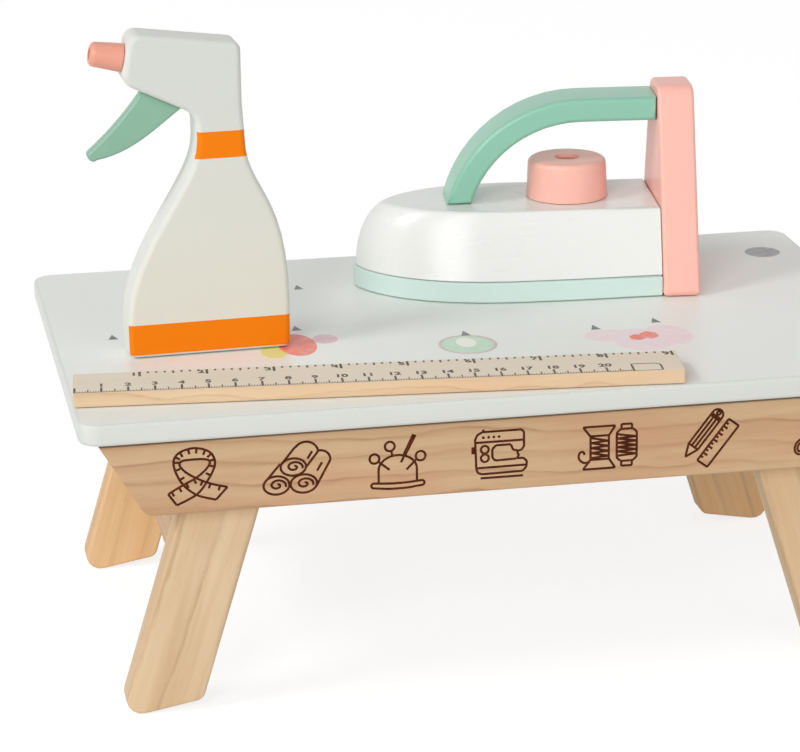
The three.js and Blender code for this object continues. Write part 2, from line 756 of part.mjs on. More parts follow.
const throat = new THREE.Vector2(flask.neckLeft, flask.shoulderHeight + flask.neckRise);
const headTopFront = new THREE.Vector2(head.topFront, throat.y + head.height);
const headLow = new THREE.Vector2(head.lowFront, headTopFront.y - head.faceHeight);
const underside = throat.clone().sub(headLow).normalize(); // from the head's front to the neck
const belowHead = new THREE.Vector2(underside.y, -underside.x); // square to that, away from the head
const frontEdge = headTopFront.clone().sub(headLow).normalize();
const spoutward = new THREE.Vector3(-frontEdge.y, 0, frontEdge.x);
const spoutFoot = headLow.clone().lerp(headTopFront, nozzle.dropShare);
const spoutPlace = new THREE.Vector3(spoutFoot.x, 0, spoutFoot.y);
const triggerSeat = headLow.clone().addScaledVector(underside, trigger.frontSetback);

function triggerDowelPlaces() {
  return [triggerDowel.firstShare, triggerDowel.secondShare].map((share) => {
    const place = triggerSeat.clone().addScaledVector(underside, share * trigger.seatLength);
    return new THREE.Vector3(place.x, 0, place.y);
  });
}

function makeFlask() {
  const corners = outline([
    { x: -flask.baseHalfWidth, y: 0, r: flask.cornerRadius },
    { x: flask.baseHalfWidth, y: 0, r: flask.cornerRadius },
    { x: flask.bellyHalfWidth, y: flask.rightBellyHeight },
    {
      x: flask.neckRight,
      y: flask.shoulderHeight,
      c1: new THREE.Vector2(flask.bellyHalfWidth, flask.rightBellyHeight + flask.rightBellyRise),
      c2: new THREE.Vector2(flask.neckRight, flask.shoulderHeight - flask.rightNeckDrop),
    },
    { x: head.back, y: throat.y + head.backRise },
    { x: head.back, y: headTopFront.y - head.backDrop, r: head.backRadius },
    { x: headTopFront.x, y: headTopFront.y, r: head.frontRadius },
    { x: headLow.x, y: headLow.y, r: head.lowRadius },
    { x: throat.x, y: throat.y, r: head.throatRadius },
    { x: flask.neckLeft, y: flask.shoulderHeight },
    {
      x: -flask.bellyHalfWidth,
      y: flask.leftBellyHeight,
      c1: new THREE.Vector2(flask.neckLeft, flask.shoulderHeight - flask.leftNeckDrop),
      c2: new THREE.Vector2(-flask.bellyHalfWidth, flask.leftBellyHeight + flask.leftBellyRise),
    },
  ]);
  const slab = uprightPlate(corners, bottle.thickness, bottle.edgeRadius);
  const overrun = cutOverrun + nozzle.roundRadius;
  const socket = pegHole(spoutPlace, spoutward, nozzle.spigotLength, overrun, nozzle.spigotRadius);
  const down = new THREE.Vector3(belowHead.x, 0, belowHead.y);
  const holes = triggerDowelPlaces().map((place) =>
    pegHole(place, down, triggerDowel.headBite, cutOverrun, triggerDowel.radius));
  return named('bottle_body', cut(slab, socket, ...holes), finishes.bottlePaint);
}

function makeNozzle() {
  const tip = nozzle.length;
  const spout = turned([
    [0, -nozzle.spigotLength],
    [nozzle.spigotRadius, -nozzle.spigotLength],
    [nozzle.spigotRadius, seatGap],
    [nozzle.baseRadius, seatGap],
    ...roundEdge(nozzle.tipRadius, tip, nozzle.roundRadius),
    [nozzle.holeRadius, tip],
    [nozzle.holeRadius, tip - nozzle.holeDepth],
    [0, tip - nozzle.holeDepth],
  ], roundSteps);
  spout.applyQuaternion(new THREE.Quaternion().setFromUnitVectors(upward, spoutward));
  spout.translate(spoutPlace.x, spoutPlace.y, spoutPlace.z);
  return named('bottle_nozzle', spout, finishes.pinkPaint);
}

function makeTrigger() {
  const front = triggerSeat.clone().addScaledVector(belowHead, seatGap);
  const rear = front.clone().addScaledVector(underside, trigger.seatLength);
  const tip = new THREE.Vector2(front.x - trigger.reach, front.y - trigger.tipDrop);
  const frontRun = tip.clone().sub(front);
  const frontSide = new THREE.Vector2(-frontRun.y, frontRun.x).normalize();
  const tipSide = tip.clone().add(new THREE.Vector2(1, -1).setLength(trigger.tipWidth));
  const rearRun = tipSide.clone().sub(rear);
  const rearSide = new THREE.Vector2(-rearRun.y, rearRun.x).normalize();
  const third = (from, run, share) => from.clone().addScaledVector(run, share);
  const pastTip = frontRun.clone().setLength(trigger.tipRound);
  const corners = outline([
    { x: front.x, y: front.y },
    {
      x: tip.x,
      y: tip.y,
      c1: third(front, frontRun, 1 / 3).addScaledVector(frontSide, trigger.frontBow),
      c2: third(front, frontRun, 2 / 3).addScaledVector(frontSide, trigger.frontBow),
    },
    { x: tipSide.x, y: tipSide.y, c1: tip.clone().add(pastTip), c2: tipSide.clone().add(pastTip) },
    {
      x: rear.x,
      y: rear.y,
      c1: third(rear, rearRun, 2 / 3).addScaledVector(rearSide, trigger.tipBow),
      c2: third(rear, rearRun, 1 / 3).addScaledVector(rearSide, trigger.seatBow),
    },
  ]);
  const slab = uprightPlate(corners, trigger.thickness, trigger.edgeRadius);
  const down = new THREE.Vector3(belowHead.x, 0, belowHead.y);
  const holes = triggerDowelPlaces().map((place) =>
    pegHole(place, down, cutOverrun, triggerDowel.triggerBite, triggerDowel.radius));
  return named('bottle_trigger', cut(slab, ...holes), finishes.greenPaint);
}

function makeBottle() {
  const toy = new THREE.Group();
  toy.add(makeFlask(), makeNozzle(), makeTrigger());
  const down = new THREE.Vector3(belowHead.x, 0, belowHead.y);
  triggerDowelPlaces().forEach((place, i) => {
    const pin = peg(place, down, triggerDowel.headBite, triggerDowel.triggerBite, triggerDowel.radius);
    toy.add(named(`bottle_trigger_dowel_${i + 1}`, pin, finishes.beech));
  });
  const faceY = bottle.frontInset - board.depth / 2;
  toy.position.set(bottle.endInset - board.length / 2, faceY + bottle.thickness / 2, playZ);
  toy.rotation.z = bottle.turn;
  return toy;
}

// Ruler

function makeRuler() {
  const corners = rectangle(ruler.length, ruler.width, ruler.cornerRadius);
  const strip = plate(corners, ruler.thickness, ruler.edgeRadius);
  strip.translate(ruler.length / 2, ruler.width / 2, ruler.thickness / 2);
  const mesh = named('ruler', strip, finishes.rulerWood);
  mesh.position.set(ruler.endInset - board.length / 2, ruler.frontInset - board.depth / 2, playZ);
  mesh.rotation.z = ruler.turn;
  return mesh;
}

// The whole toy

const rightLegs = new THREE.Group();
rightLegs.add(makeLegFrame('right', 1));
rightLegs.rotation.z = Math.PI;

const stand = new THREE.Group();
stand.add(makeTable(), makeLegFrame('left', -1), rightLegs);
stand.position.y = frameY;

const toy = new THREE.Group();
toy.add(stand, makeIron(), makeBottle(), makeRuler());

export default toy;
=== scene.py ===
"""Dresses a wooden play ironing board with its toy iron, spray bottle and ruler.

Lengths in the classes are millimetres, as on a drawing; the scene itself is in metres.
"""

import logging
import math
from dataclasses import dataclass, replace
from enum import Enum
from typing import Any, Callable, Iterable, Sequence

import bpy
from mathutils import Euler, Matrix, Vector


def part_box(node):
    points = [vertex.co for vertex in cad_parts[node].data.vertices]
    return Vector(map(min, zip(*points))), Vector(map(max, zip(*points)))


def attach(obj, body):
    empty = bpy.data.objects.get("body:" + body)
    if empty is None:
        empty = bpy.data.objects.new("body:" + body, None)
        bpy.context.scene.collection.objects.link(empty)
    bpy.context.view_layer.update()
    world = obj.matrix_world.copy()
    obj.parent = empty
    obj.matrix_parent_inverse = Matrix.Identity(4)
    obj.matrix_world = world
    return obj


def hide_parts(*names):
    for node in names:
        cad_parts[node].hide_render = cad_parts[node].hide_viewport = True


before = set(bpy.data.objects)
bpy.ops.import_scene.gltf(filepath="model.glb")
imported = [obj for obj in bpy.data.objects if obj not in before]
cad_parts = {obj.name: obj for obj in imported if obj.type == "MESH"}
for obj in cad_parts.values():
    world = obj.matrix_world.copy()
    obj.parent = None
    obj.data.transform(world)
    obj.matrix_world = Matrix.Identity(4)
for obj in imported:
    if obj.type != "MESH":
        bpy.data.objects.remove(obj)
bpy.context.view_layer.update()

log = logging.getLogger("play_ironing_board")

MM = 0.001
BLACK = (0.0, 0.0, 0.0, 1.0)
FULL_LIGHT = (1.0, 1.0, 1.0, 1.0)
UPWARD = (0.0, 0.0, 1.0)

Colour = tuple[int, int, int]
Point = tuple[float, float]
Place = tuple[float, float, float]
Stroke = list[Point]
Piece = bpy.types.Object
Material = bpy.types.Material


def linear(colour: Colour) -> tuple[float, float, float, float]:
    """Turns a paint-chart colour into scene-linear values.

    Args:
        colour: Red, green and blue from 0 to 255.

    Returns:
        The same colour in linear light, with full alpha.
    """
    shares = [c / 255 for c in colour]
    lit = [s / 12.92 if s <= 0.04045 else ((s + 0.055) / 1.055) ** 2.4 for s in shares]
    return (lit[0], lit[1], lit[2], 1.0)


def shade(colour: Colour, gain: float) -> Colour:
    """Lightens or darkens a colour, keeping its hue."""
    return tuple(max(0, min(255, round(c * gain))) for c in colour)


# Shader maths


class Val:
    """A value in a node tree. Each operator on it adds one Math node."""

    def __init__(self, nodes: "Nodes", socket: bpy.types.NodeSocket) -> None:
        """Wraps a node's output socket."""
        self.nodes = nodes
        self.socket = socket

    def __add__(self, other: "Val | float") -> "Val":
        """Sum."""
        return self.nodes.math("ADD", self, other)

    __radd__ = __add__

    def __mul__(self, other: "Val | float") -> "Val":
        """Product."""
        return self.nodes.math("MULTIPLY", self, other)

    __rmul__ = __mul__

    def __sub__(self, other: "Val | float") -> "Val":
        """Difference."""
        return self.nodes.math("SUBTRACT", self, other)

    def __rsub__(self, other: "Val | float") -> "Val":
        """Difference with this value taken away."""
        return self.nodes.math("SUBTRACT", other, self)

    def __truediv__(self, other: "Val | float") -> "Val":
        """Quotient."""
        return self.nodes.math("DIVIDE", self, other)

    def __abs__(self) -> "Val":
        """Size without its sign."""
        return self.nodes.math("ABSOLUTE", self)


class Nodes:
    """A node tree and the ways to add to it."""

    def __init__(self, tree: bpy.types.NodeTree) -> None:
        """Empties a tree and keeps it."""
        self.tree = tree
        tree.nodes.clear()

    def node(
        self,
        kind: str,
        settings: dict[str, Any] | None = None,
        inputs: dict[str | int, Any] | None = None,
        output: str | int = 0,
    ) -> Val:
        """Adds any node.

        Args:
            kind: The node's type.
            settings: Its settings, set first. "stops" holds a ramp's (place, colour) pairs.
            inputs: Values or links of its sockets, by name or number.
            output: The output that is wanted, by name or number.

        Returns:
            The wanted output, or the last input of a node that has none.
        """
        node = self.tree.nodes.new(kind)
        for key, value in (settings or {}).items():
            if key == "stops":
                self.set_stops(node.color_ramp, value)
            else:
                setattr(node, key, value)
        for key, value in (inputs or {}).items():
            if isinstance(value, Val):
                self.tree.links.new(value.socket, node.inputs[key])
            else:
                node.inputs[key].default_value = value
        return Val(self, node.outputs[output] if len(node.outputs) else node.inputs[-1])

    @staticmethod
    def set_stops(ramp: bpy.types.ColorRamp, stops: Sequence[tuple[float, tuple]]) -> None:
        """Gives a colour ramp its stops.

        Args:
            ramp: The ramp, with its two first stops.
            stops: Place and linear colour of each stop, in order.
        """
        while len(ramp.elements) < len(stops):
            ramp.elements.new(1.0)
        for element, (place, colour) in zip(ramp.elements, stops):
            element.position = place
            element.color = colour

    def math(self, operation: str, a: "Val | float", b: "Val | float" = 0.0) -> Val:
        """One Math node on two values."""
        return self.node("ShaderNodeMath", {"operation": operation}, {0: a, 1: b})

    def seen_outright(self) -> Val:
        """Tells the camera's own looks from light on a surface.

        Returns:
            1 where the camera looks straight, in a mirror or through glass, otherwise 0.
        """
        rays = ("Is Camera Ray", "Is Glossy Ray", "Is Transmission Ray")
        camera, glossy, through = (self.node("ShaderNodeLightPath", output=ray) for ray in rays)
        return self.math("MAXIMUM", self.math("MAXIMUM", camera, glossy), through)


class Shader(Nodes):
    """One material and the nodes behind its surface."""

    def __init__(self, name: str) -> None:
        """Starts an empty material.

        Args:
            name: The material's name.
        """
        self.material = bpy.data.materials.new(name)
        self.material.use_nodes = True
        super().__init__(self.material.node_tree)

    def blend(self, factor: "Val | float", a: Any, b: Any) -> Val:
        """A colour between two, from the first at factor 0 to the second at 1."""
        return self.node("ShaderNodeMix", {"data_type": "RGBA"}, {0: factor, 6: a, 7: b}, 2)

    def ramp(self, value: Val, stops: Sequence[tuple[float, float]]) -> Val:
        """Number read off a ramp of greys at a value."""
        greys = [(place, (grey, grey, grey, 1.0)) for place, grey in stops]
        return self.node("ShaderNodeValToRGB", {"stops": greys}, {0: value})

    def rise(self, value: Val, low: float, high: float) -> Val:
        """Soft step: 0 below low, 1 above high."""
        settings = {"interpolation_type": "SMOOTHSTEP", "clamp": True}
        return self.node("ShaderNodeMapRange", settings, {"Value": value, "From Min": low, "From Max": high})

    def noise(self, place: Val, fine: float | Place, detail: float, roughness: float = 0.5) -> Val:
        """Noise about 0.5 at a place.

        Args:
            place: Where it is read.
            fine: Features per unit of the place, alike all round or for each of its axes.
            detail: Octaves.
            roughness: Strength of the finer octaves.

        Returns:
            The noise value.
        """
        if isinstance(fine, tuple):
            place = self.node("ShaderNodeVectorMath", {"operation": "MULTIPLY"}, {0: place, 1: fine})
            fine = 1.0
        inputs = {"Vector": place, "Scale": fine, "Detail": detail, "Roughness": roughness}
        return self.node("ShaderNodeTexNoise", {"noise_dimensions": "3D"}, inputs)

    def place(self, origin: Vector, turn: Euler) -> Val:
        """The point being shaded, in millimetres in a piece's own axes.

        Args:
            origin: The axes' origin in millimetres.
            turn: The axes' rotation.

        Returns:
            The point.
        """
        spot = self.node("ShaderNodeTexCoord", output="Object")
        inputs = {"Vector": spot, "Location": origin * MM, "Rotation": turn, "Scale": (MM, MM, MM)}
        return self.node("ShaderNodeMapping", {"vector_type": "TEXTURE"}, inputs)

    def facing(self, turn: Euler) -> tuple[Val, Val, Val]:
        """The surface's direction.

        Args:
            turn: The rotation of the piece's own axes.

        Returns:
            Its parts along those axes.
        """
        normal = self.node("ShaderNodeTexCoord", output="Normal")
        inputs = {"Vector": normal, "Rotation": turn}
        return self.split(self.node("ShaderNodeMapping", {"vector_type": "TEXTURE"}, inputs))

    def split(self, place: Val) -> tuple[Val, Val, Val]:
        """The three parts of a place."""
        outputs = self.node("ShaderNodeSeparateXYZ", None, {0: place}).socket.node.outputs
        return Val(self, outputs[0]), Val(self, outputs[1]), Val(self, outputs[2])

    def relief(self, height: Val, depth_mm: float) -> Val:
        """Surface normal of a height from 0 to 1 whose relief is this deep."""
        inputs = {"Strength": 1.0, "Distance": depth_mm * MM, "Height": height}
        return self.node("ShaderNodeBump", None, inputs)

    def surface(self, colour: Val, roughness: Val, normal: Val, **fixed: float) -> Val:
        """The painted, wooden or metal surface.

        Args:
            colour: Base colour.
            roughness: Roughness.
            normal: Surface normal.
            **fixed: Numbers for other sockets of the surface, with underscores for spaces.

        Returns:
            The surface.
        """
        inputs = {"Base Color": colour, "Roughness": roughness, "Normal": normal}
        inputs |= {socket.replace("_", " "): value for socket, value in fixed.items()}
        return self.node("ShaderNodeBsdfPrincipled", None, inputs)

    def finish(self, surface: Val) -> Material:
        """Shows a surface and closes the material."""
        self.node("ShaderNodeOutputMaterial", None, {"Surface": surface})
        return self.material

    def dress(self, colour: Val, roughness: Val, normal: Val, **fixed: float) -> Material:
        """Makes the surface and closes the material."""
        return self.finish(self.surface(colour, roughness, normal, **fixed))


# Finishes


@dataclass(frozen=True)
class Lie:
    """How a piece lies: its middle in millimetres and the direction of its grain."""

    middle: Place
    along: Place = (1.0, 0.0, 0.0)
    outward: Place = UPWARD

    def turn(self) -> Euler:
        """Turns the axes of a pattern onto the piece.

        Returns:
            Rotation of axes whose first runs along the grain and whose third points outward.
        """
        first = Vector(self.along).normalized()
        third = Vector(self.outward)
        third = (third - first * third.dot(first)).normalized()
        second = third.cross(first)
        return Matrix((first, second, third)).transposed().to_euler()


# How fine each feature of the wood is: features per millimetre along, across and through the grain
DRIFT, RIPPLE, FEATHER = (0.012, 0.02, 0.02), (0.045, 0.11, 0.11), (0.1, 1.5, 1.5)
FIBRE, FLECK, STREAK = (0.06, 2.6, 2.6), (0.16, 1.4, 1.4), (0.008, 0.12, 0.12)
CLOUD, FADING = (0.012, 0.04, 0.04), (0.014, 0.12, 0.12)

# Darkness over one year's growth, of the soft band and of the thin line that ends it
BAND = ((0.0, 0.12), (0.1, 0.0), (0.55, 0.12), (0.84, 0.5), (0.9, 0.6), (1.0, 0.12))
LINE = ((0.0, 0.35), (0.05, 0.0), (0.8, 0.0), (0.9, 0.35), (0.955, 1.0), (1.0, 0.35))

# How far, in millimetres, a seed of 1 moves the grain
SEED_STEP = (137.0, 23.0, 71.0)


@dataclass(frozen=True)
class Pine:
    """Lacquered pine: soft pale bands, thin reddish ring lines and feathered fibres.

    Lengths are millimetres. A faded colour lies on the outward face alone, and a painted
    shade line is a dark line along the grain where a board above shades the piece.
    """

    light: Colour = (209, 177, 140)
    body: Colour = (194, 155, 117)
    ring: Colour = (168, 119, 79)
    warm: Colour = (200, 150, 111)
    heart_across: float = 70.0
    heart_behind: float = 30.0
    spacing: float = 8.0
    tilt: float = 0.02
    wander: float = 7.0
    ragged: float = 0.5
    ring_strength: float = 0.66
    seed: float = 0.0
    faded: Colour | None = None
    faded_share: float = 0.7
    # Painted shade line: where it lies across the grain, its dark colour and its strength
    joint_across: float | None = None
    joint_shade: Colour = (68, 54, 40)
    joint_share: float = 0.85
    relief_mm: float = 0.04

    def ring_phase(self, s: Shader, raw: Val, spot: Val) -> Val:
        """Place within a year's growth, from 0 to 1, at the point being shaded.

        Args:
            s: The shader.
            raw: The point in the piece's own axes.
            spot: The same point, shifted by the piece's seed.

        Returns:
            The share of the year.
        """
        along, across, through = s.split(raw)
        drift = s.noise(spot, DRIFT, 2.0, 0.4) - 0.5
        ripple = s.noise(spot, RIPPLE, 2.0) - 0.5
        feather = s.noise(spot, FEATHER, 3.0, 0.65) - 0.5
        side = across + self.heart_across + along * self.tilt + drift * (2.0 * self.wander)
        back = through + self.heart_behind + ripple * (0.7 * self.wander)
        girth = s.math("SQRT", side * side + back * back)
        rough_girth = girth + ripple * (0.25 * self.wander) + feather * (2.0 * self.ragged)
        return s.math("FRACT", rough_girth / self.spacing)

    def material(self, name: str, lie: Lie) -> Material:
        """Makes the wood for one piece.

        Args:
            name: The material's name.
            lie: How the piece lies.

        Returns:
            The material.
        """
        s = Shader(name)
        raw = s.place(Vector(lie.middle), lie.turn())
        offset = tuple(self.seed * step for step in SEED_STEP)
        spot = s.node("ShaderNodeVectorMath", {"operation": "ADD"}, {0: raw, 1: offset})
        year = self.ring_phase(s, raw, spot)
        band, line = s.ramp(year, BAND), s.ramp(year, LINE)
        line = line * (s.rise(s.noise(spot, FADING, 2.0), 0.36, 0.62) * 0.8 + 0.2)
        fibre = s.noise(spot, FIBRE, 4.0, 0.62)
        fleck = s.noise(spot, FLECK, 2.0)
        streak = s.noise(spot, STREAK, 3.0)
        cloud = s.noise(spot, CLOUD, 2.0)
        wood = s.blend(s.rise(streak, 0.3, 0.7), linear(self.body), linear(self.light))
        for share, colour in (
            (s.rise(cloud, 0.4, 0.7) * 0.55, self.warm),
            (band * (0.55 * self.ring_strength), self.ring),
            (line * self.ring_strength, shade(self.ring, 0.93)),
            (s.rise(fibre, 0.55, 0.8) * 0.22, shade(self.ring, 0.9)),
            (s.rise(fleck, 0.62, 0.8) * 0.2, shade(self.ring, 1.02)),
            (0.2 - s.rise(fibre, 0.2, 0.46) * 0.2, shade(self.light, 1.05)),
        ):
            wood = s.blend(share, wood, linear(colour))
        if self.faded is not None:
            _, _, outward = s.facing(lie.turn())
            wood = s.blend(s.rise(outward, 0.85, 0.98) * self.faded_share, wood, linear(self.faded))
        # Painted shade: a dark line along the grain where the board above shades the piece
        if self.joint_across is not None:
            _, across, _ = s.split(raw)
            painted_shade_line = 1.0 - s.rise(abs(across - self.joint_across), 0.7, 1.5)
            wood = s.blend(painted_shade_line * self.joint_share, wood, linear(self.joint_shade))
        rough = 0.5 + fibre * 0.18 - line * 0.08
        normal = s.relief(fibre * 0.45 + line * 0.35 + streak * 0.2, self.relief_mm)
        lacquer = {"Coat_Weight": 0.06, "Coat_Roughness": 0.45, "Specular_IOR_Level": 0.35}
        return s.dress(wood, rough, normal, **lacquer)


@dataclass(frozen=True)
class Paint:
    """Sprayed satin paint over wood: the grain shows through as the faintest relief."""

    colour: Colour
    gloss: float = 0.34
    mottle: float = 0.03
    peel_mm: float = 0.006
    grain_mm: float = 0.012
    coat_share: float = 0.06
    specular: float = 0.4
    # Lighter colour of rounded edges and its strength: part wear, part painted highlight
    worn: Colour | None = None
    worn_share: float = 0.35

    def coat(self, s: Shader, lie: Lie, colour: Any) -> Material:
        """Gives a shader this paint in a colour that may vary.

        Args:
            s: The shader.
            lie: How the piece lies.
            colour: Linear colour or a colour value.

        Returns:
            The material.
        """
        spot = s.place(Vector(lie.middle), lie.turn())
        cloud = s.noise(spot, (0.02, 0.03, 0.03), 3.0, 0.55)
        speck = s.noise(spot, 0.55, 3.0, 0.6)
        grain = s.noise(spot, (0.025, 0.7, 0.7), 4.0, 0.6)
        peel = s.noise(spot, 0.9, 2.0, 0.4)
        patchy = (cloud - 0.5) * (2.0 * self.mottle) + (speck - 0.5) * self.mottle
        dull = s.blend(0.5 + patchy * 4.0, s.blend(0.06, colour, BLACK), colour)
        # Rounded edges painted lighter: part wear, part painted highlight
        if self.worn is not None:
            dull = s.blend(self.rub(s, lie, speck), dull, linear(self.worn))
        rough = self.gloss + (grain - 0.5) * 0.02 + (cloud - 0.5) * 0.1
        depth_mm = self.grain_mm + self.peel_mm
        height = grain * (self.grain_mm / depth_mm) + peel * (self.peel_mm / depth_mm)
        film = {"Coat_Weight": self.coat_share, "Coat_Roughness": 0.25, "Specular_IOR_Level": self.specular}
        return s.dress(dull, rough, s.relief(height, depth_mm), **film)

    def rub(self, s: Shader, lie: Lie, speck: Val) -> Val:
        """How far the rounded edges are painted lighter, unevenly: part rubbed-thin paint, part painted
        highlight.

        Args:
            s: The shader.
            lie: How the piece lies.
            speck: The noise that breaks the wear up.

        Returns:
            The share of the lighter edge colour.
        """
        nx, ny, nz = s.facing(lie.turn())
        flat = s.math("MAXIMUM", abs(nx), s.math("MAXIMUM", abs(ny), abs(nz)))
        edge = s.rise(1.0 - flat, 0.1, 0.28)
        return edge * s.rise(speck, 0.42, 0.68) * self.worn_share

    def material(self, name: str, lie: Lie) -> Material:
        """Makes the paint for one piece."""
        return self.coat(Shader(name), lie, linear(self.colour))


@dataclass(frozen=True)
class Burn:
    """Lines burnt into wood: dark brown, lighter where the burn was quick."""

    deep: Colour = (74, 30, 12)
    quick: Colour = (100, 46, 22)

    def material(self, name: str) -> Material:
        """Makes the burnt finish.

        Args:
            name: The material's name.

        Returns:
            The material.
        """
        s = Shader(name)
        spot = s.place(Vector(), Euler())
        patch = s.noise(spot, 0.45, 3.0, 0.6)
        colour = s.blend(s.rise(patch, 0.35, 0.7), linear(self.deep), linear(self.quick))
        char = s.relief(s.noise(spot, 3.0, 2.0), 0.01)
        return s.dress(colour, 0.75 + patch * 0.2, char, Specular_IOR_Level=0.12)


@dataclass(frozen=True)
class Ink:
    """Thin print on paint or wood, a little uneven in its cover."""

    colour: Colour
    under: Colour
    cover: float = 0.86
    gloss: float = 0.4

    def material(self, name: str) -> Material:
        """Makes the printed finish.

        Args:
            name: The material's name.

        Returns:
            The material.
        """
        s = Shader(name)
        spot = s.place(Vector(), Euler())
        patch = s.noise(spot, 0.3, 4.0, 0.65)
        thin = (1.0 - self.cover) * 2.0 * s.rise(patch, 0.4, 0.75)
        colour = s.blend(thin, linear(self.colour), linear(self.under))
        return s.dress(colour, self.gloss + patch * 0.12, s.relief(s.noise(spot, 0.9, 2.0), 0.006))


@dataclass(frozen=True)
class Steel:
    """Zinc-bright screw steel with fine turning marks."""

    colour: Colour = (186, 188, 190)

    def material(self, name: str) -> Material:
        """Makes the metal.

        Args:
            name: The material's name.

        Returns:
            The material.
        """
        s = Shader(name)
        spot = s.place(Vector(), Euler())
        haze = s.noise(spot, 1.3, 4.0, 0.6)
        colour = s.blend(haze * 0.5, linear(self.colour), linear(shade(self.colour, 0.78)))
        normal = s.relief(s.noise(spot, (6.0, 0.6, 6.0), 2.0), 0.01)
        return s.dress(colour, 0.26 + haze * 0.2, normal, Metallic=1.0)


# The lighter edge colours below are part wear, part painted highlight
WHITE = Paint((218, 220, 214), gloss=0.36, specular=0.3, worn=(233, 234, 229), worn_share=0.4)
# Painted light: the board's top is painted brighter than its edges to lift the upward faces
BRIGHTENED_TOP_WHITE: Colour = (248, 250, 245)
IVORY = Paint((238, 239, 235), gloss=0.28, peel_mm=0.004, grain_mm=0.0006)
MINT = Paint((212, 233, 226), gloss=0.36)
GREEN = Paint((143, 200, 175), gloss=0.3)
TRIGGER_GREEN = Paint((138, 182, 158), gloss=0.36)
PINK = Paint((255, 190, 175), gloss=0.38, worn=(255, 204, 191))
CORAL = Paint((234, 160, 138), gloss=0.38, worn=(240, 176, 156))
ROSE = Paint((222, 140, 130), gloss=0.42)
ORANGE: Colour = (248, 130, 0)
BOTTLE_LOW: Colour = (228, 226, 213)
BOTTLE_HIGH: Colour = (217, 220, 214)
BOTTLE_WHITE = Paint((235, 236, 230), gloss=0.5, specular=0.14, coat_share=0.0, grain_mm=0.006)
LEG_GRAIN = Pine(
    heart_across=44.0, heart_behind=24.0, spacing=11.0, wander=4.0, ragged=1.0, ring_strength=0.36
)
# The rear legs get a lighter, warmer copy of the leg pine: painted light against the shade they stand in
FRONT_LEG_PINE = replace(LEG_GRAIN, light=(224, 198, 161), body=(211, 180, 141), warm=(214, 177, 134))
REAR_LEG_PINE_BRIGHTENED = replace(LEG_GRAIN, light=(236, 201, 155), body=(227, 184, 135), warm=(227, 174, 115))
DOWEL_WOOD = Pine(body=(214, 176, 136), spacing=1.8, heart_behind=20.0)
BURNT = Burn()
STEEL = Steel()


class Slot(Enum):
    """Names of material slots."""

    WHITE = "white_paint"
    PINE = "pine"
    STEEL = "steel"
    MINT = "mint_paint"
    IVORY = "ivory_paint"
    PINK = "pink_paint"
    ROSE = "rose_paint"
    GREEN = "green_paint"
    BOTTLE = "bottle_paint"
    RULER = "ruler_wood"


# Bench work on meshes

# Corners of a CAD node nearer than this, in metres, are one
JOIN_DISTANCE = 0.00001

# Faces that turn less than this, in degrees, are one flat face
FLAT_TURN = 0.6

# Edges that turn less than this, in degrees, are shaded round: at most pieces, and at screws
ROUND_TURN = 52.0
SCREW_TURN = 40.0


def pick(obj: Piece) -> None:
    """Selects one object alone and makes it active.

    Args:
        obj: The object.
    """
    if bpy.context.object is not None and bpy.context.object.mode != "OBJECT":
        bpy.ops.object.mode_set(mode="OBJECT")
    bpy.ops.object.select_all(action="DESELECT")
    obj.select_set(True)
    bpy.context.view_layer.objects.active = obj


def add(primitive: Callable[..., Any], **settings: Any) -> Piece:
    """Adds a primitive with nothing else selected.

    Args:
        primitive: Blender's operator for it.
        **settings: The operator's settings.

    Returns:
        The new object, selected.
    """
    bpy.ops.object.select_all(action="DESELECT")
    primitive(**settings)
    return bpy.context.object


def settle(obj: Piece) -> None:
    """Moves an object's place into its mesh."""
    pick(obj)
    bpy.ops.object.transform_apply(location=True, rotation=True, scale=True)


def coat(obj: Piece, material: Material) -> None:
    """Gives an object one material."""
    obj.data.materials.clear()
    obj.data.materials.append(material)


def fit(obj: Piece, body: str, material: Material) -> None:
    """Gives a finished piece its finish and the body it moves with.

    Args:
        obj: The piece.
        body: The body.
        material: Its finish.
    """
    coat(obj, material)
    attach(obj, body)
    log.info("%s rides on %s", obj.name, body)


def gather(pieces: Sequence[Piece], name: str) -> Piece:
    """Joins pieces into one with its place in its mesh.

    Args:
        pieces: Mesh objects.
        name: The joined piece's name.

    Returns:
        The joined piece.
    """
    bpy.ops.object.select_all(action="DESELECT")
    for piece in pieces:
        piece.select_set(True)
    bpy.context.view_layer.objects.active = pieces[0]
    bpy.ops.object.join()
    joined = bpy.context.object
    settle(joined)
    joined.name = name
    return joined


def ease_edges(obj: Piece, crease: float) -> None:
    """Shades rounded edges smooth and keeps flat faces flat.

    Args:
        obj: The piece.
        crease: Edges that turn more than this many degrees stay sharp.
    """
    pick(obj)
    bpy.ops.object.shade_smooth_by_angle(angle=math.radians(crease))
    weighted = obj.modifiers.new("even_normals", "WEIGHTED_NORMAL")
    weighted.keep_sharp = True
    weighted.weight = 100
    bpy.ops.object.modifier_apply(modifier=weighted.name)


def take(node: str, name: str) -> Piece:
    """Takes a working copy of a CAD node, with its corners joined and its faces whole.

    Args:
        node: The CAD node.
        name: The new piece's name.

    Returns:
        The copy, free of the node's parent.
    """
    pick(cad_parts[node])
    bpy.ops.object.duplicate()
    obj = bpy.context.object
    obj.parent = None
    obj.name = name
    for key in [k for k in obj.keys() if k.startswith("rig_")]:
        del obj[key]
    pick(obj)
    bpy.ops.mesh.customdata_custom_splitnormals_clear()
    bpy.ops.object.mode_set(mode="EDIT")
    bpy.ops.mesh.select_all(action="SELECT")
    bpy.ops.mesh.remove_doubles(threshold=JOIN_DISTANCE)
    bpy.ops.mesh.dissolve_limited(angle_limit=math.radians(FLAT_TURN))
    bpy.ops.object.mode_set(mode="OBJECT")
    return obj


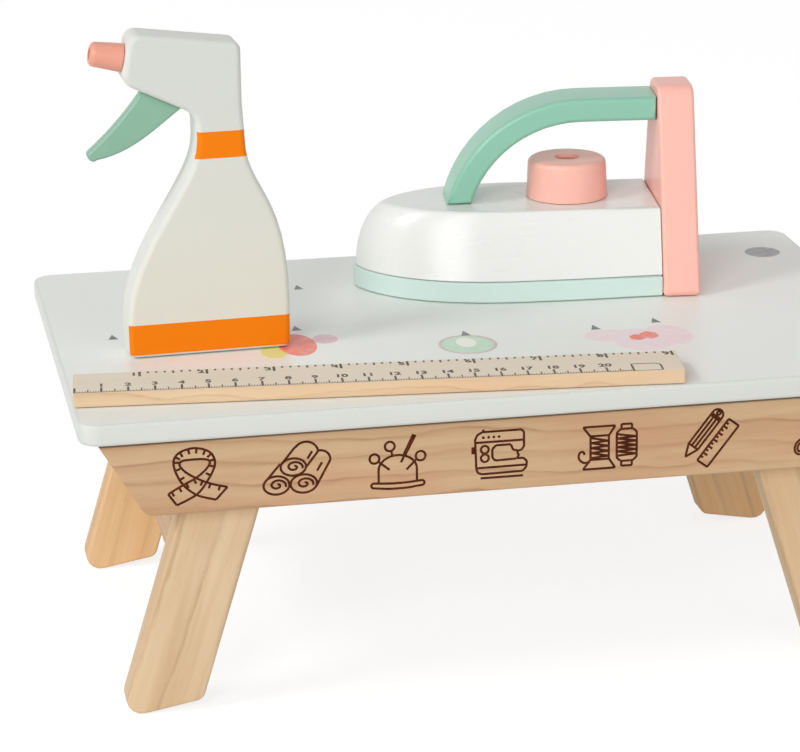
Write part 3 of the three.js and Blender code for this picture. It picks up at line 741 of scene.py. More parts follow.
def finish_node(
    node: str, name: str, body: str, material: Material, crease: float = ROUND_TURN
) -> None:
    """Finishes a visible piece in place of its CAD node.

    Args:
        node: The CAD node.
        name: The finished piece's name.
        body: The body it moves with.
        material: Its finish.
        crease: Largest turn, in degrees, that is shaded smooth.
    """
    obj = take(node, name)
    ease_edges(obj, crease)
    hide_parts(node)
    fit(obj, body, material)


# Line drawings


def arc(centre: Point, radii: Point, start: float, end: float, steps: int = 18) -> Stroke:
    """Points on part of an ellipse, between two angles in degrees anticlockwise from the right."""
    angles = [math.radians(start + (end - start) * k / steps) for k in range(steps + 1)]
    return [(centre[0] + radii[0] * math.cos(a), centre[1] + radii[1] * math.sin(a)) for a in angles]


def ring(centre: Point, radius: float) -> Stroke:
    """A whole circle, its last point on its first."""
    return arc(centre, (radius, radius), 0, 360, 24)


def spiral(centre: Point, radii: Point, turns: float) -> Stroke:
    """A coil from an outer oval into the middle.

    Args:
        centre: Its middle.
        radii: The oval's half-widths.
        turns: How often it goes round.

    Returns:
        The points.
    """
    steps = round(16 * turns)
    points = []
    for share in (k / steps for k in range(steps + 1)):
        angle = math.radians(360 * turns * share - 20)
        left = 1 - 0.86 * share
        x, y = radii[0] * left * math.cos(angle), radii[1] * left * math.sin(angle)
        points.append((centre[0] + x, centre[1] + y))
    return points


def soften(points: Stroke, steps: int = 6) -> Stroke:
    """A smooth line through a few points.

    Args:
        points: The points.
        steps: Stretches between each two of them.

    Returns:
        The line.
    """
    ends = [points[0], *points, points[-1]]
    smooth = [points[0]]
    for near in zip(ends, ends[1:], ends[2:], ends[3:]):
        for t in (k / steps for k in range(1, steps + 1)):
            pulls = (-t + 2 * t**2 - t**3, 2 - 5 * t**2 + 3 * t**3, t + 4 * t**2 - 3 * t**3, t**3 - t**2)
            smooth.append(tuple(sum(p * spot[i] for p, spot in zip(pulls, near)) / 2 for i in (0, 1)))
    return smooth


def beside(points: Stroke, offset: float) -> Stroke:
    """The same line moved sideways.

    Args:
        points: The line.
        offset: How far it moves to its left.

    Returns:
        The moved line.
    """
    moved = []
    for k, (x, y) in enumerate(points):
        before = Vector(points[max(k - 1, 0)])
        after = Vector(points[min(k + 1, len(points) - 1)])
        run = (after - before).normalized()
        moved.append((x - run.y * offset, y + run.x * offset))
    return moved


def placed(strokes: Iterable[Stroke], turn: float, shift: Point = (0.0, 0.0)) -> list[Stroke]:
    """Strokes turned about their origin, in degrees, and then moved."""
    c, s = math.cos(math.radians(turn)), math.sin(math.radians(turn))
    return [[(c * x - s * y + shift[0], s * x + c * y + shift[1]) for x, y in k] for k in strokes]


def tape_measure() -> list[Stroke]:
    """A looped tape with two crossed ends and its marks.

    Returns:
        The drawing's strokes.
    """
    outer = [(-8.0, -10.9), (-0.6, -7.3), (3.7, -2.2), (6.7, 4.2), (4.9, 9.0), (-1.0, 11.0)]
    outer += [(-7.0, 9.2), (-8.7, 4.9), (-6.0, -2.2), (-0.6, -7.3), (6.7, -9.8)]
    inner = [(-11.1, -6.3), (-6.1, -3.5), (-0.6, -0.7), (3.2, 2.3), (4.8, 5.0), (3.4, 6.3), (-1.0, 6.6)]
    inner += [(-5.3, 6.3), (-6.5, 4.8), (-4.5, 2.0), (-0.6, -0.7), (4.8, -3.3), (11.1, -5.1)]
    outer, inner = soften(outer), soften(inner)
    inward, below = beside(outer, 2.1), beside(inner, -2.0)
    marks = [[outer[k], inward[k]] for k in range(14, 49, 3)]
    marks += [[inner[k], below[k]] for k in (2, 5, 8, 11, 63, 66, 69)]
    return [outer, inner, [outer[0], inner[0]], [outer[-1], inner[-1]], *marks]


def cloth_rolls() -> list[Stroke]:
    """Three rolls of cloth in a stack, seen from one end.

    Returns:
        The drawing's strokes.
    """
    strokes = []
    for centre, radii in (((-1.3, 0.8), (4.8, 3.4)), ((-7.8, -6.0), (4.9, 3.6)), ((2.5, -6.0), (5.0, 3.6))):
        strokes.append(arc(centre, radii, 0, 360, 26))
        strokes.append(spiral((centre[0] + 0.3, centre[1]), (radii[0] * 0.7, radii[1] * 0.68), 1.3))
    strokes.append([(-5.8, 2.2), (-0.6, 8.4), *arc((3.5, 5.6), (4.8, 4.8), 140, 10, 9), (3.5, 0.4)])
    strokes.append([(8.2, 6.5), *arc((9.0, 2.9), (3.7, 3.7), 95, -5, 8), (7.2, -7.4)])
    strokes.append([(-12.4, -4.8), (-6.2, 2.4)])
    strokes += [[(4.1, 3.7), (5.9, 6.5)], [(7.6, -1.3), (9.6, 1.9)]]
    return strokes


def pin_cushion() -> list[Stroke]:
    """A domed cushion on a rolled base, with three ball pins and a needle.

    Returns:
        The drawing's strokes.
    """
    dome = [(-7.3, -8.2), *arc((0.0, -3.2), (7.3, 5.7), 180, 0, 22), (7.3, -8.2)]
    base = soften([(-9.2, -8.1), (-4.0, -8.5), (0.0, -8.6), (4.0, -8.5), (9.2, -8.1)])
    foot = soften([(9.2, -10.0), (4.0, -10.6), (0.0, -10.7), (-4.0, -10.6), (-9.2, -10.0)])
    ends = [arc((side * 9.2, -9.05), (0.95, 0.95), 90, 90 - side * 180, 8) for side in (1, -1)]
    pins = [ring(spot, 1.85) for spot in ((-8.8, 1.6), (-2.9, 6.1), (8.8, 1.6))]
    shanks = [[(-7.2, 0.3), (-3.1, -3.1)], [(-2.3, 4.3), (-2.0, 2.4)], [(7.2, 0.3), (3.3, -3.5)]]
    needle = [[(1.3, -0.5), (2.6, 2.2), (6.6, 10.1)], [(2.9, 2.2), (6.9, 9.9)], [(2.4, 2.6), (6.1, 10.3)]]
    return [dome, base, foot, *ends, *pins, *shanks, *needle]


def sewing_machine() -> list[Stroke]:
    """A sewing machine from the side.

    Returns:
        The drawing's strokes.
    """
    outline = [(-9.0, -5.4), (-9.4, 6.2), (-8.6, 8.0), (-6.6, 9.1), (8.4, 9.1), (9.4, 8.2), (9.4, 2.4)]
    outline += [(8.4, 1.0), (6.9, 0.8), (6.9, -0.3), (7.5, -0.9), (6.6, -2.2), (9.2, -2.2)]
    outline += [(10.5, -3.6), (10.3, -5.8), (8.8, -7.4), (-6.9, -7.6), (-8.4, -7.0), (-9.0, -5.4)]
    window = [(4.3, 3.5), (-1.4, 3.5), (-2.8, 2.1), (-2.8, -1.3), (-1.7, -2.5), (6.4, -2.3)]
    arm = [(4.3, 3.5), (5.2, 1.3), (6.9, 0.9)]
    marks = [[(-9.2, 5.0), (9.4, 5.0)], [(-8.9, -5.1), (10.3, -5.0)], [(-7.4, -9.2), (9.0, -9.2)]]
    dials = [ring((-5.7, 2.1), 1.5), ring((-5.7, -1.3), 1.5)]
    dots = [ring((x, 6.9), 0.1) for x in (-6.2, -4.2, -2.2, -0.2)]
    wheel = [[(-10.4, 3.4), (-10.4, 0.6)], [(-10.0, 3.4), (-10.0, 0.6)], [(-6.2, 9.1), (-6.2, 10.1)]]
    return [outline, window, arm, *marks, *dials, *dots, *wheel]


def wound(left: float, right: float, top: float, bottom: float, turns: int) -> list[Stroke]:
    """Slanting turns of thread between two sides.

    Args:
        left: The left side.
        right: The right side.
        top: Where the thread starts.
        bottom: Where it ends.
        turns: How many turns there are.

    Returns:
        The strokes, two a turn.
    """
    step = (top - bottom) / turns
    strokes = []
    for high in (top - k * step for k in range(turns)):
        far = (right, high - step * 0.75)
        strokes += [[(left, high), far], [far, (left, high - step)]]
    return strokes


def thread_spools() -> list[Stroke]:
    """A reel with a loose end of thread beside a full bobbin.

    Returns:
        The drawing's strokes.
    """
    middle = -0.4
    flange = [(-9.5, 8.4), (3.0, 8.4), (0.6, 4.7), (-6.7, 4.7), (-9.5, 8.4)]
    strokes = []
    for way in (1, -1):
        strokes.append([(x, middle + way * y) for x, y in flange])
        strokes.append([(5.4, way * 6.4), (5.4, way * 8.3), (9.5, way * 8.3), (9.5, way * 6.4)])
    strokes += [[(-6.6, 4.3), (-6.6, -5.1)], [(0.5, 4.3), (0.5, -5.1)]]
    strokes += wound(-6.4, 0.3, 3.6, -4.4, 4)
    curl = [(-9.2, -6.1), (-11.1, -4.4), (-10.9, -2.2), (-9.6, -1.7), (-8.8, -2.9)]
    strokes.append(soften([(-6.7, -5.7), *curl]))
    bobbin = [(5.2, 6.4), (3.6, 5.0), (3.6, -5.0), (5.2, -6.4), (9.8, -6.4), (11.4, -5.0), (11.4, 5.0)]
    strokes.append([*bobbin, (9.8, 6.4), (5.2, 6.4)])
    return strokes + wound(3.8, 11.2, 4.4, -4.2, 5)


def pencil_and_scale() -> list[Stroke]:
    """A pencil lying beside a short scale.

    Returns:
        The drawing's strokes.
    """
    low, high, middle = 1.9, 6.4, 4.15
    end = arc((8.6, middle), (2.2, 2.25), 90, -90, 10)
    pencil = [
        [(-6.7, high), (8.6, high), *end, (8.6, low), (-6.7, low), (-11.7, middle), (-6.7, high)],
        *([(x, high), (x, low)] for x in (-6.7, 7.0, 7.9)),
        *([(-6.7, middle + side), (7.0, middle + side)] for side in (0.75, -0.75)),
        ring((9.4, middle), 0.7),
    ]
    scale = [[(-10.1, -0.6), (9.8, -0.6), (9.8, -5.6), (-10.1, -5.6), (-10.1, -0.6)]]
    scale += [[(x * 1.6, -0.6), (x * 1.6, -1.9 if x % 2 else -2.7)] for x in range(-5, 6)]
    return placed([*pencil, *scale], 52.0)


def scissors() -> list[Stroke]:
    """Open scissors with two ring handles.

    Returns:
        The drawing's strokes.
    """
    blade = [(-3.4, -3.6), (-0.9, 0.6), (3.6, 9.2), (2.6, 4.6), (0.9, -0.2), (-1.6, -4.6)]
    handle = [arc((0.0, 0.0), (2.4, 3.2), 0, 360, 24), arc((0.0, 0.0), (1.3, 2.0), 0, 360, 20)]
    strokes = [blade, [(-x, y) for x, y in blade], ring((0.0, 0.4), 0.5)]
    for side in (-1, 1):
        strokes += placed(handle, side * 24.0, (side * 4.2, -6.0))
    return strokes


def ease_corners(points: Stroke, closed: bool, cut: float = 0.55, mild_turn: float = 30.0) -> Stroke:
    """Rounds the sharp corners of a line, so that it keeps its width there.

    Args:
        points: The line.
        closed: Whether its end meets its start.
        cut: How far from a corner the rounding starts.
        mild_turn: Corners that turn less than this many degrees stay.

    Returns:
        The rounded line.
    """
    eased = []
    points = [here for k, here in enumerate(points) if k == 0 or math.dist(here, points[k - 1]) > 0.01]
    for k, here in enumerate(points):
        spot = Vector(here)
        back = Vector(points[k - 1]) - spot
        ahead = Vector(points[(k + 1) % len(points)]) - spot
        loose_end = not closed and k in (0, len(points) - 1)
        if loose_end or back.angle(ahead) > math.radians(180.0 - mild_turn):
            eased.append(here)
            continue
        first = spot + back.normalized() * min(cut, back.length * 0.4)
        last = spot + ahead.normalized() * min(cut, ahead.length * 0.4)
        for t in (0.0, 0.25, 0.5, 0.75, 1.0):
            eased.append(tuple(first * (1 - t) ** 2 + spot * (2 * t * (1 - t)) + last * t**2))
    return eased


@dataclass
class LineArt:
    """Strokes of one width drawn on a flat face."""

    width: float = 0.92
    lift: float = 0.035

    def draw(self, name: str, strokes: Sequence[Stroke], origin: Vector, turn: Euler) -> Piece:
        """Draws strokes as thin raised lines.

        Args:
            name: The piece's name.
            strokes: Lines in millimetres on the drawing's plane.
            origin: Where the drawing's middle lies, in millimetres.
            turn: Rotation that takes the drawing's plane onto the face.

        Returns:
            The drawing as one mesh.
        """
        obj = add(bpy.ops.curve.primitive_bezier_curve_add)
        obj.name = name
        line = obj.data
        line.splines.clear()
        line.bevel_depth = self.width / 2 * MM
        line.bevel_resolution = 0
        line.use_fill_caps = True
        for stroke in strokes:
            closed = math.dist(stroke[0], stroke[-1]) < 0.01 and len(stroke) > 3
            points = ease_corners(stroke[:-1] if closed else stroke, closed)
            spline = line.splines.new("POLY")
            spline.points.add(len(points) - 1)
            for spot, (x, y) in zip(spline.points, points):
                spot.co = (x * MM, y * MM, 0.0, 1.0)
            spline.use_cyclic_u = closed
        pick(obj)
        bpy.ops.object.convert(target="MESH")
        obj = bpy.context.object
        obj.scale = (1.0, 1.0, 2 * self.lift / self.width)
        settle(obj)
        obj.rotation_euler = turn
        obj.location = origin * MM
        settle(obj)
        return obj


# Sub-assemblies


@dataclass(frozen=True)
class Lamp:
    """A soft square lamp that faces the object, placed in millimetres."""

    name: str
    place: Place
    power: float
    size: float

    def hang(self, aim_height: float) -> None:
        """Adds the lamp and turns it to a point above the floor's middle.

        Args:
            aim_height: Height of that point, in millimetres.
        """
        data = bpy.data.lights.new(self.name, "AREA")
        data.size = self.size * MM
        data.energy = self.power
        lamp = bpy.data.objects.new(self.name, data)
        lamp.location = Vector(self.place) * MM
        aim = Vector((0.0, 0.0, aim_height * MM)) - lamp.location
        lamp.rotation_euler = aim.to_track_quat("-Z", "Y").to_euler()
        bpy.context.scene.collection.objects.link(lamp)


@dataclass
class Studio:
    """Camera, floor and soft light.

    The floor glows only in what the camera sees, so that it looks white and lights nothing.
    """

    eye: Place = (-256.24, -1251.31, 499.59)
    yaw: float = 10.42
    pitch: float = 17.48
    roll: float = -0.78
    lens: float = 148.48
    sensor: float = 36.0
    sight: float = 30000.0
    floor_size: float = 9000.0
    floor_pale: Colour = (248, 248, 247)
    floor_shade: Colour = (243, 243, 242)
    ambient: float = 0.37
    lamps: tuple[Lamp, ...] = (
        Lamp("key", (-2266.0, -3924.0, 2233.0), 92.0, 2000.0),
        Lamp("left", (-3768.0, -1152.0, 3198.0), 69.0, 1300.0),
        Lamp("front", (2092.0, -4487.0, 816.0), 43.0, 2800.0),
    )
    aim_height: float = 120.0
    glow_share: float = 0.6
    glow: float = 1.27

    def camera(self) -> None:
        """Sets up the view of the photograph."""
        yaw, pitch, roll = (math.radians(a) for a in (self.yaw, self.pitch, self.roll))
        ahead = Vector(
            (math.sin(yaw) * math.cos(pitch), math.cos(yaw) * math.cos(pitch), -math.sin(pitch))
        )
        level = Vector((math.cos(yaw), -math.sin(yaw), 0.0))
        above = level.cross(ahead)
        right = level * math.cos(roll) + above * math.sin(roll)
        up = above * math.cos(roll) - level * math.sin(roll)
        data = bpy.data.cameras.new("view")
        data.lens = self.lens
        data.sensor_width = self.sensor
        data.clip_end = self.sight * MM
        camera = bpy.data.objects.new("view", data)
        bpy.context.scene.collection.objects.link(camera)
        turn = Matrix((right, up, -ahead)).transposed().to_4x4()
        camera.matrix_world = Matrix.Translation(Vector(self.eye) * MM) @ turn
        bpy.context.scene.camera = camera

    def light(self) -> None:
        """Lights the object softly, more from the front and left than from the right."""
        world = bpy.data.worlds.new("studio")
        world.use_nodes = True
        sky = Nodes(world.node_tree)
        level = sky.node("ShaderNodeMapRange", None, {"Value": sky.seen_outright(), "To Min": self.ambient})
        white = sky.node("ShaderNodeBackground", None, {"Strength": level, "Color": FULL_LIGHT})
        sky.node("ShaderNodeOutputWorld", None, {"Surface": white})
        bpy.context.scene.world = world
        for lamp in self.lamps:
            lamp.hang(self.aim_height)

    def floor(self) -> None:
        """Lays the plain pale floor, which looks white and keeps the object's shadow."""
        size = self.floor_size * MM
        floor = add(bpy.ops.mesh.primitive_grid_add, x_subdivisions=4, y_subdivisions=4, size=size)
        floor.name = "floor"
        s = Shader("pale_floor")
        cloud = s.noise(s.place(Vector(), Euler()), 0.004, 2.0)
        colour = s.blend(cloud * 0.3, linear(self.floor_pale), linear(self.floor_shade))
        lit = s.surface(colour, 0.85 + cloud * 0.05, s.relief(cloud, 0.01))
        glow = s.node("ShaderNodeEmission", None, {"Color": FULL_LIGHT, "Strength": self.glow})
        share = s.seen_outright() * self.glow_share
        coat(floor, s.finish(s.node("ShaderNodeMixShader", None, {0: share, 1: lit, 2: glow})))

    def build(self) -> None:
        """Sets the whole studio."""
        self.camera()
        self.floor()
        self.light()


@dataclass
class Table:
    """Painted board on its pine frame, with burnt drawings and a printed top.

    Each layer of print is a little thicker than the one below, so that it shows on top.
    """

    top_z: float = 121.5
    apron_z: float = 98.0
    front_face_y: float = -101.2
    rear_face_y: float = 90.2
    # Height above the aprons' middle of the painted shade line under the board's overhang
    joint_drop: float = 14.5
    rail_x: float = 133.35
    rail_z: float = 102.0
    drawing_z: float = 97.9
    drawing_places: tuple[float, ...] = (-121.6, -84.3, -46.1, -7.0, 34.8, 75.8, 115.4)
    front_seed: float = 1.0
    rear_seed: float = 2.3
    print_base: float = 0.02
    print_layer: float = 0.012
    print_sink: float = 0.004

    def dress_board(self) -> None:
        """Paints the board white, with the upward faces brighter: painted light on the top."""
        s = Shader("board_paint")
        lie = Lie((0.0, 0.0, self.top_z))
        _, _, up = s.facing(lie.turn())
        # Painted light: upward faces blend into the brighter white
        colour = s.blend(s.rise(up, 0.94, 0.995), linear(WHITE.colour), linear(BRIGHTENED_TOP_WHITE))
        finish_node("board_top", "painted_board", "table", WHITE.coat(s, lie, colour))

    def dress_aprons(self) -> None:
        """Gives the two aprons and two end rails their wood."""
        front = ("front", self.front_face_y, -1.0, self.front_seed)
        rear = ("rear", self.rear_face_y, 1.0, self.rear_seed)
        for side, y, way, seed in (front, rear):
            lie = Lie((0.0, y, self.apron_z), outward=(0.0, way, 0.0))
            # Each apron gets a painted shade line just under the board's overhang
            grain = Pine(seed=seed, tilt=0.03, spacing=7.6, joint_across=-self.joint_drop * way)
            wood = grain.material(f"{side}_apron_pine", lie)
            finish_node(f"{side}_apron", f"{side}_apron_board", "table", wood)
        for side, way in (("left", -1.0), ("right", 1.0)):
            lie = Lie((way * self.rail_x, 0.0, self.rail_z), (0.0, 1.0, 0.0), (way, 0.0, 0.0))
            wood = Pine(seed=4.0 + way, heart_across=40.0).material(f"{side}_rail_pine", lie)
            finish_node(f"{side}_end_rail", f"{side}_rail_bar", "table", wood)

    def dress_screws(self) -> None:
        """Finishes the four pivot screws."""
        metal = STEEL.material("pivot_steel")
        for corner in ("front_left", "front_right", "rear_left", "rear_right"):
            name = f"{corner}_pivot"
            finish_node(f"{name}_screw", name, "table", metal, SCREW_TURN)

    def draw_front(self) -> None:
        """Burns the seven drawings into the front apron."""
        drawings: tuple[tuple[str, Callable[[], list[Stroke]]], ...] = (
            ("tape_drawing", tape_measure),
            ("cloth_drawing", cloth_rolls),
            ("cushion_drawing", pin_cushion),
            ("machine_drawing", sewing_machine),
            ("spool_drawing", thread_spools),
            ("pencil_drawing", pencil_and_scale),
            ("scissors_drawing", scissors),
        )
        burnt = BURNT.material("burnt_line")
        upright = Euler((math.pi / 2, 0.0, 0.0))
        for (name, strokes), x in zip(drawings, self.drawing_places):
            origin = Vector((x, self.front_face_y, self.drawing_z))
            fit(LineArt().draw(name, strokes(), origin, upright), "table", burnt)

    def disc(self, name: str, spot: Point, radii: Point, layer: int, ink: Ink, sides: int = 56) -> None:
        """Prints a filled oval or a flat-sided spot on the board.

        Args:
            name: The piece's name.
            spot: Its middle.
            radii: Its half-widths.
            layer: 1 for the lowest print, more for what lies on it.
            ink: Its ink.
            sides: How many sides it has; many make an oval.
        """
        obj = add(bpy.ops.mesh.primitive_circle_add, vertices=sides, radius=1.0, fill_type="NGON")
        obj.name = name
        obj.scale = (radii[0] * MM, radii[1] * MM, 1.0)
        settle(obj)
        lift = (0.0, 0.0, (self.print_layer * layer + self.print_base) * MM)
        bpy.ops.object.mode_set(mode="EDIT")
        bpy.ops.mesh.select_all(action="SELECT")
        bpy.ops.mesh.extrude_region_move(TRANSFORM_OT_translate={"value": lift})
        bpy.ops.mesh.select_all(action="SELECT")
        bpy.ops.mesh.normals_make_consistent(inside=False)
        bpy.ops.object.mode_set(mode="OBJECT")
        obj.location = (spot[0] * MM, spot[1] * MM, (self.top_z - self.print_sink) * MM)
        settle(obj)
        fit(obj, "table", ink.material(f"{name}_ink"))

    def print_top(self) -> None:
        """Prints buttons, a hoop, a bow and a few pins on the board, and lays a grey oval at its right rear.
        """
        under = BRIGHTENED_TOP_WHITE
        red, yellow = Ink((246, 132, 116), under), Ink((234, 238, 146), under)
        mint, rim = Ink((204, 232, 208), under), Ink((214, 196, 190), under)
        cream, lilac = Ink((254, 252, 240), under), Ink((250, 228, 232), under, cover=0.75)
        pink, grey = Ink((240, 200, 208), under, cover=0.8), Ink((158, 158, 160), under, cover=0.8)
        dark = Ink((100, 102, 106), under)
        prints = (
            ("pink_button", (-59.0, -15.9), (5.0, 6.2), 1, pink),
            ("yellow_button", (-81.5, -29.0), (5.0, 8.2), 1, yellow),
            ("red_button", (-71.1, -21.4), (7.6, 14.8), 2, red),
            ("hoop_rim", (-5.4, -35.9), (11.6, 12.8), 1, rim),
            ("hoop_cloth", (-5.4, -35.9), (10.2, 11.3), 2, mint),
            ("hoop_spot", (-5.6, -33.0), (3.9, 6.4), 3, cream),
            ("bow_left", (51.0, -37.0), (9.6, 8.4), 1, lilac),
            ("bow_middle", (63.0, -45.0), (12.0, 15.0), 2, lilac),
            ("bow_right", (74.5, -41.0), (9.5, 13.6), 3, lilac),
            ("bow_knot_left", (61.8, -41.6), (3.4, 4.2), 4, red, 6),
            ("bow_knot_right", (67.0, -39.6), (3.9, 5.2), 5, red, 6),
            # A grey oval at the right rear of the top, darker than the board
            ("grey_button", (146.0, 69.0), (7.5, 8.0), 1, grey),
        )
        pins = ((-141.1, 4.6), (-68.1, 0.4), (-58.0, 59.3), (-3.6, -21.7), (48.5, -25.4), (74.3, -21.3))
        heads = ((f"pin_head_{k}", spot, (2.3, 4.4), 2, dark, 3) for k, spot in enumerate(pins, 1))
        for row in (*prints, *heads):
            self.disc(*row)

    def build(self) -> None:
        """Finishes the whole table."""
        self.dress_board()
        self.dress_aprons()
        self.dress_screws()
        self.draw_front()
        self.print_top()


@dataclass
class LegPair:
    """One folding pair of legs and the stretcher between them."""

    end: str
    body: str
    way: float
    seed: float
    pivot_x: float = 106.8
    pivot_z: float = 98.0
    splay: float = 17.2
    frame_y: float = -5.5
    leg_y: float = 79.6
    stretcher_drop: float = 28.0
    stretcher_tilt: float = 0.3

    def down(self) -> Place:
        """Direction from the pivot to the foot."""
        angle = math.radians(self.splay)
        return (self.way * math.sin(angle), 0.0, -math.cos(angle))

    def build(self) -> None:
        """Finishes both legs and the stretcher."""
        # The rear legs use the brightened pine: painted light
        front, rear = ("front", -self.leg_y, FRONT_LEG_PINE), ("rear", self.leg_y, REAR_LEG_PINE_BRIGHTENED)
        for k, (side, y, pine) in enumerate((front, rear)):
            pivot = (self.way * self.pivot_x, self.frame_y + y, self.pivot_z)
            name = f"{side}_{self.end}_leg"
            grain = replace(pine, seed=self.seed + k)
            wood = grain.material(f"{name}_pine", Lie(pivot, self.down(), (0.0, y, 0.0)))
            finish_node(name, f"{name}_board", self.body, wood)
        middle = Vector((self.way * self.pivot_x, self.frame_y, self.pivot_z))
        middle += Vector(self.down()) * self.stretcher_drop
        outward = (self.way * math.cos(math.radians(self.splay)), 0.0, self.stretcher_tilt)
        grain = Pine(seed=self.seed + 7.0, spacing=5.0)
        wood = grain.material(f"{self.end}_stretcher_pine", Lie(tuple(middle), (0.0, 1.0, 0.0), outward))
        finish_node(f"{self.end}_stretcher", f"{self.end}_stretcher_bar", self.body, wood)


@dataclass
class Iron:
    """The toy iron."""

    heel: Place = (90.1, 45.0, 121.8)
    turn: float = -6.5

    def lie(self, up: float, along: Place | None = None) -> Lie:
        """How a piece of the iron lies.

        Args:
            up: Height of its middle above the board.
            along: Direction of its grain; the iron's own length where none is given.

        Returns:
            How it lies.
        """
        angle = math.radians(self.turn)
        run = along or (math.cos(angle), math.sin(angle), 0.0)
        middle = (self.heel[0], self.heel[1], self.heel[2] + up)
        return Lie(middle, run, (-math.sin(angle), math.cos(angle), 0.0))

    def build(self) -> None:
        """Paints every piece of the iron and its knob."""
        upright = self.lie(40.0, UPWARD)
        pieces = (
            ("iron_sole", "mint_sole", "iron", Slot.MINT, MINT, "sole_paint", self.lie(0.0)),
            ("iron_body", "ivory_body", "iron", Slot.IVORY, IVORY, "body_paint", self.lie(20.0)),
            ("iron_heel_block", "pink_heel_block", "iron", Slot.PINK, PINK, "heel_paint", upright),
            ("iron_handle", "green_handle", "iron", Slot.GREEN, GREEN, "handle_paint", self.lie(70.0)),
            ("iron_knob", "pink_knob", "knob", Slot.PINK, PINK, "knob_paint", self.lie(45.0, UPWARD)),
            ("iron_knob_plug", "rose_plug", "knob", Slot.ROSE, ROSE, "plug_paint", self.lie(50.0)),
        )
        for node, name, body, slot, paint, coat_name, lie in pieces:
            finish_node(node, name, body, paint.material(coat_name, lie))


@dataclass
class SprayBottle:
    """The flat cut-out bottle with its printed face.

    The bands reach over the face's rounded edge and fade between the depths of print_reach.
    """

    middle: Place = (-106.1, -17.0, 121.8)
    turn: float = 2.4
    half_thickness: float = 9.0
    height: float = 125.0
    low_band: Point = (1.3, 13.5)
    high_band: Point = (78.0, 88.5)
    band_blur: float = 0.1
    print_reach: Point = (1.9, 1.6)
    tint_reach: float = 2.2

    def lie(self) -> Lie:
        """How the bottle lies, its grain upright."""
        angle = math.radians(self.turn)
        return Lie(self.middle, UPWARD, (math.sin(angle), -math.cos(angle), 0.0))

    def stripe(self, s: Shader, up: Val, band: Point) -> Val:
        """Marks the heights of one band.

        Args:
            s: The shader.
            up: Height above the bottle's foot.
            band: Its lowest and highest height.

        Returns:
            1 within the band, with soft ends, and 0 elsewhere.
        """
        low, high = band
        blur = self.band_blur
        return s.rise(up, low - blur, low + blur) * (1.0 - s.rise(up, high - blur, high + blur))

    def face_paint(self) -> Material:
        """White paint all round, an ivory face, two orange bands, and a whiter rim that is partly painted
        highlight.

        Returns:
            The material.
        """
        s = Shader("bottle_paint_and_bands")
        up, _, out = s.split(s.place(Vector(self.middle), self.lie().turn()))
        far, near = (self.half_thickness - depth for depth in self.print_reach)
        face = s.rise(out, far, near)
        bands = self.stripe(s, up, self.low_band) + self.stripe(s, up, self.high_band)
        # Whiter sides and rounded rim: part two-tone paint, part painted highlight
        front = s.rise(out, self.half_thickness - self.tint_reach, self.half_thickness)
        printed = s.blend(s.rise(up, 0.0, self.height), linear(BOTTLE_LOW), linear(BOTTLE_HIGH))
        ground = s.blend(front, linear(BOTTLE_WHITE.colour), printed)
        colour = s.blend(face * bands, ground, linear(ORANGE))
        return BOTTLE_WHITE.coat(s, self.lie(), colour)

    def build(self) -> None:
        """Paints the bottle, its nozzle and its trigger."""
        nozzle = CORAL.material("nozzle_paint", self.lie())
        trigger = TRIGGER_GREEN.material("trigger_paint", self.lie())
        finish_node("bottle_body", "bottle_slab", "bottle", self.face_paint())
        finish_node("bottle_nozzle", "pink_nozzle", "bottle", nozzle)
        finish_node("bottle_trigger", "green_trigger", "bottle", trigger)


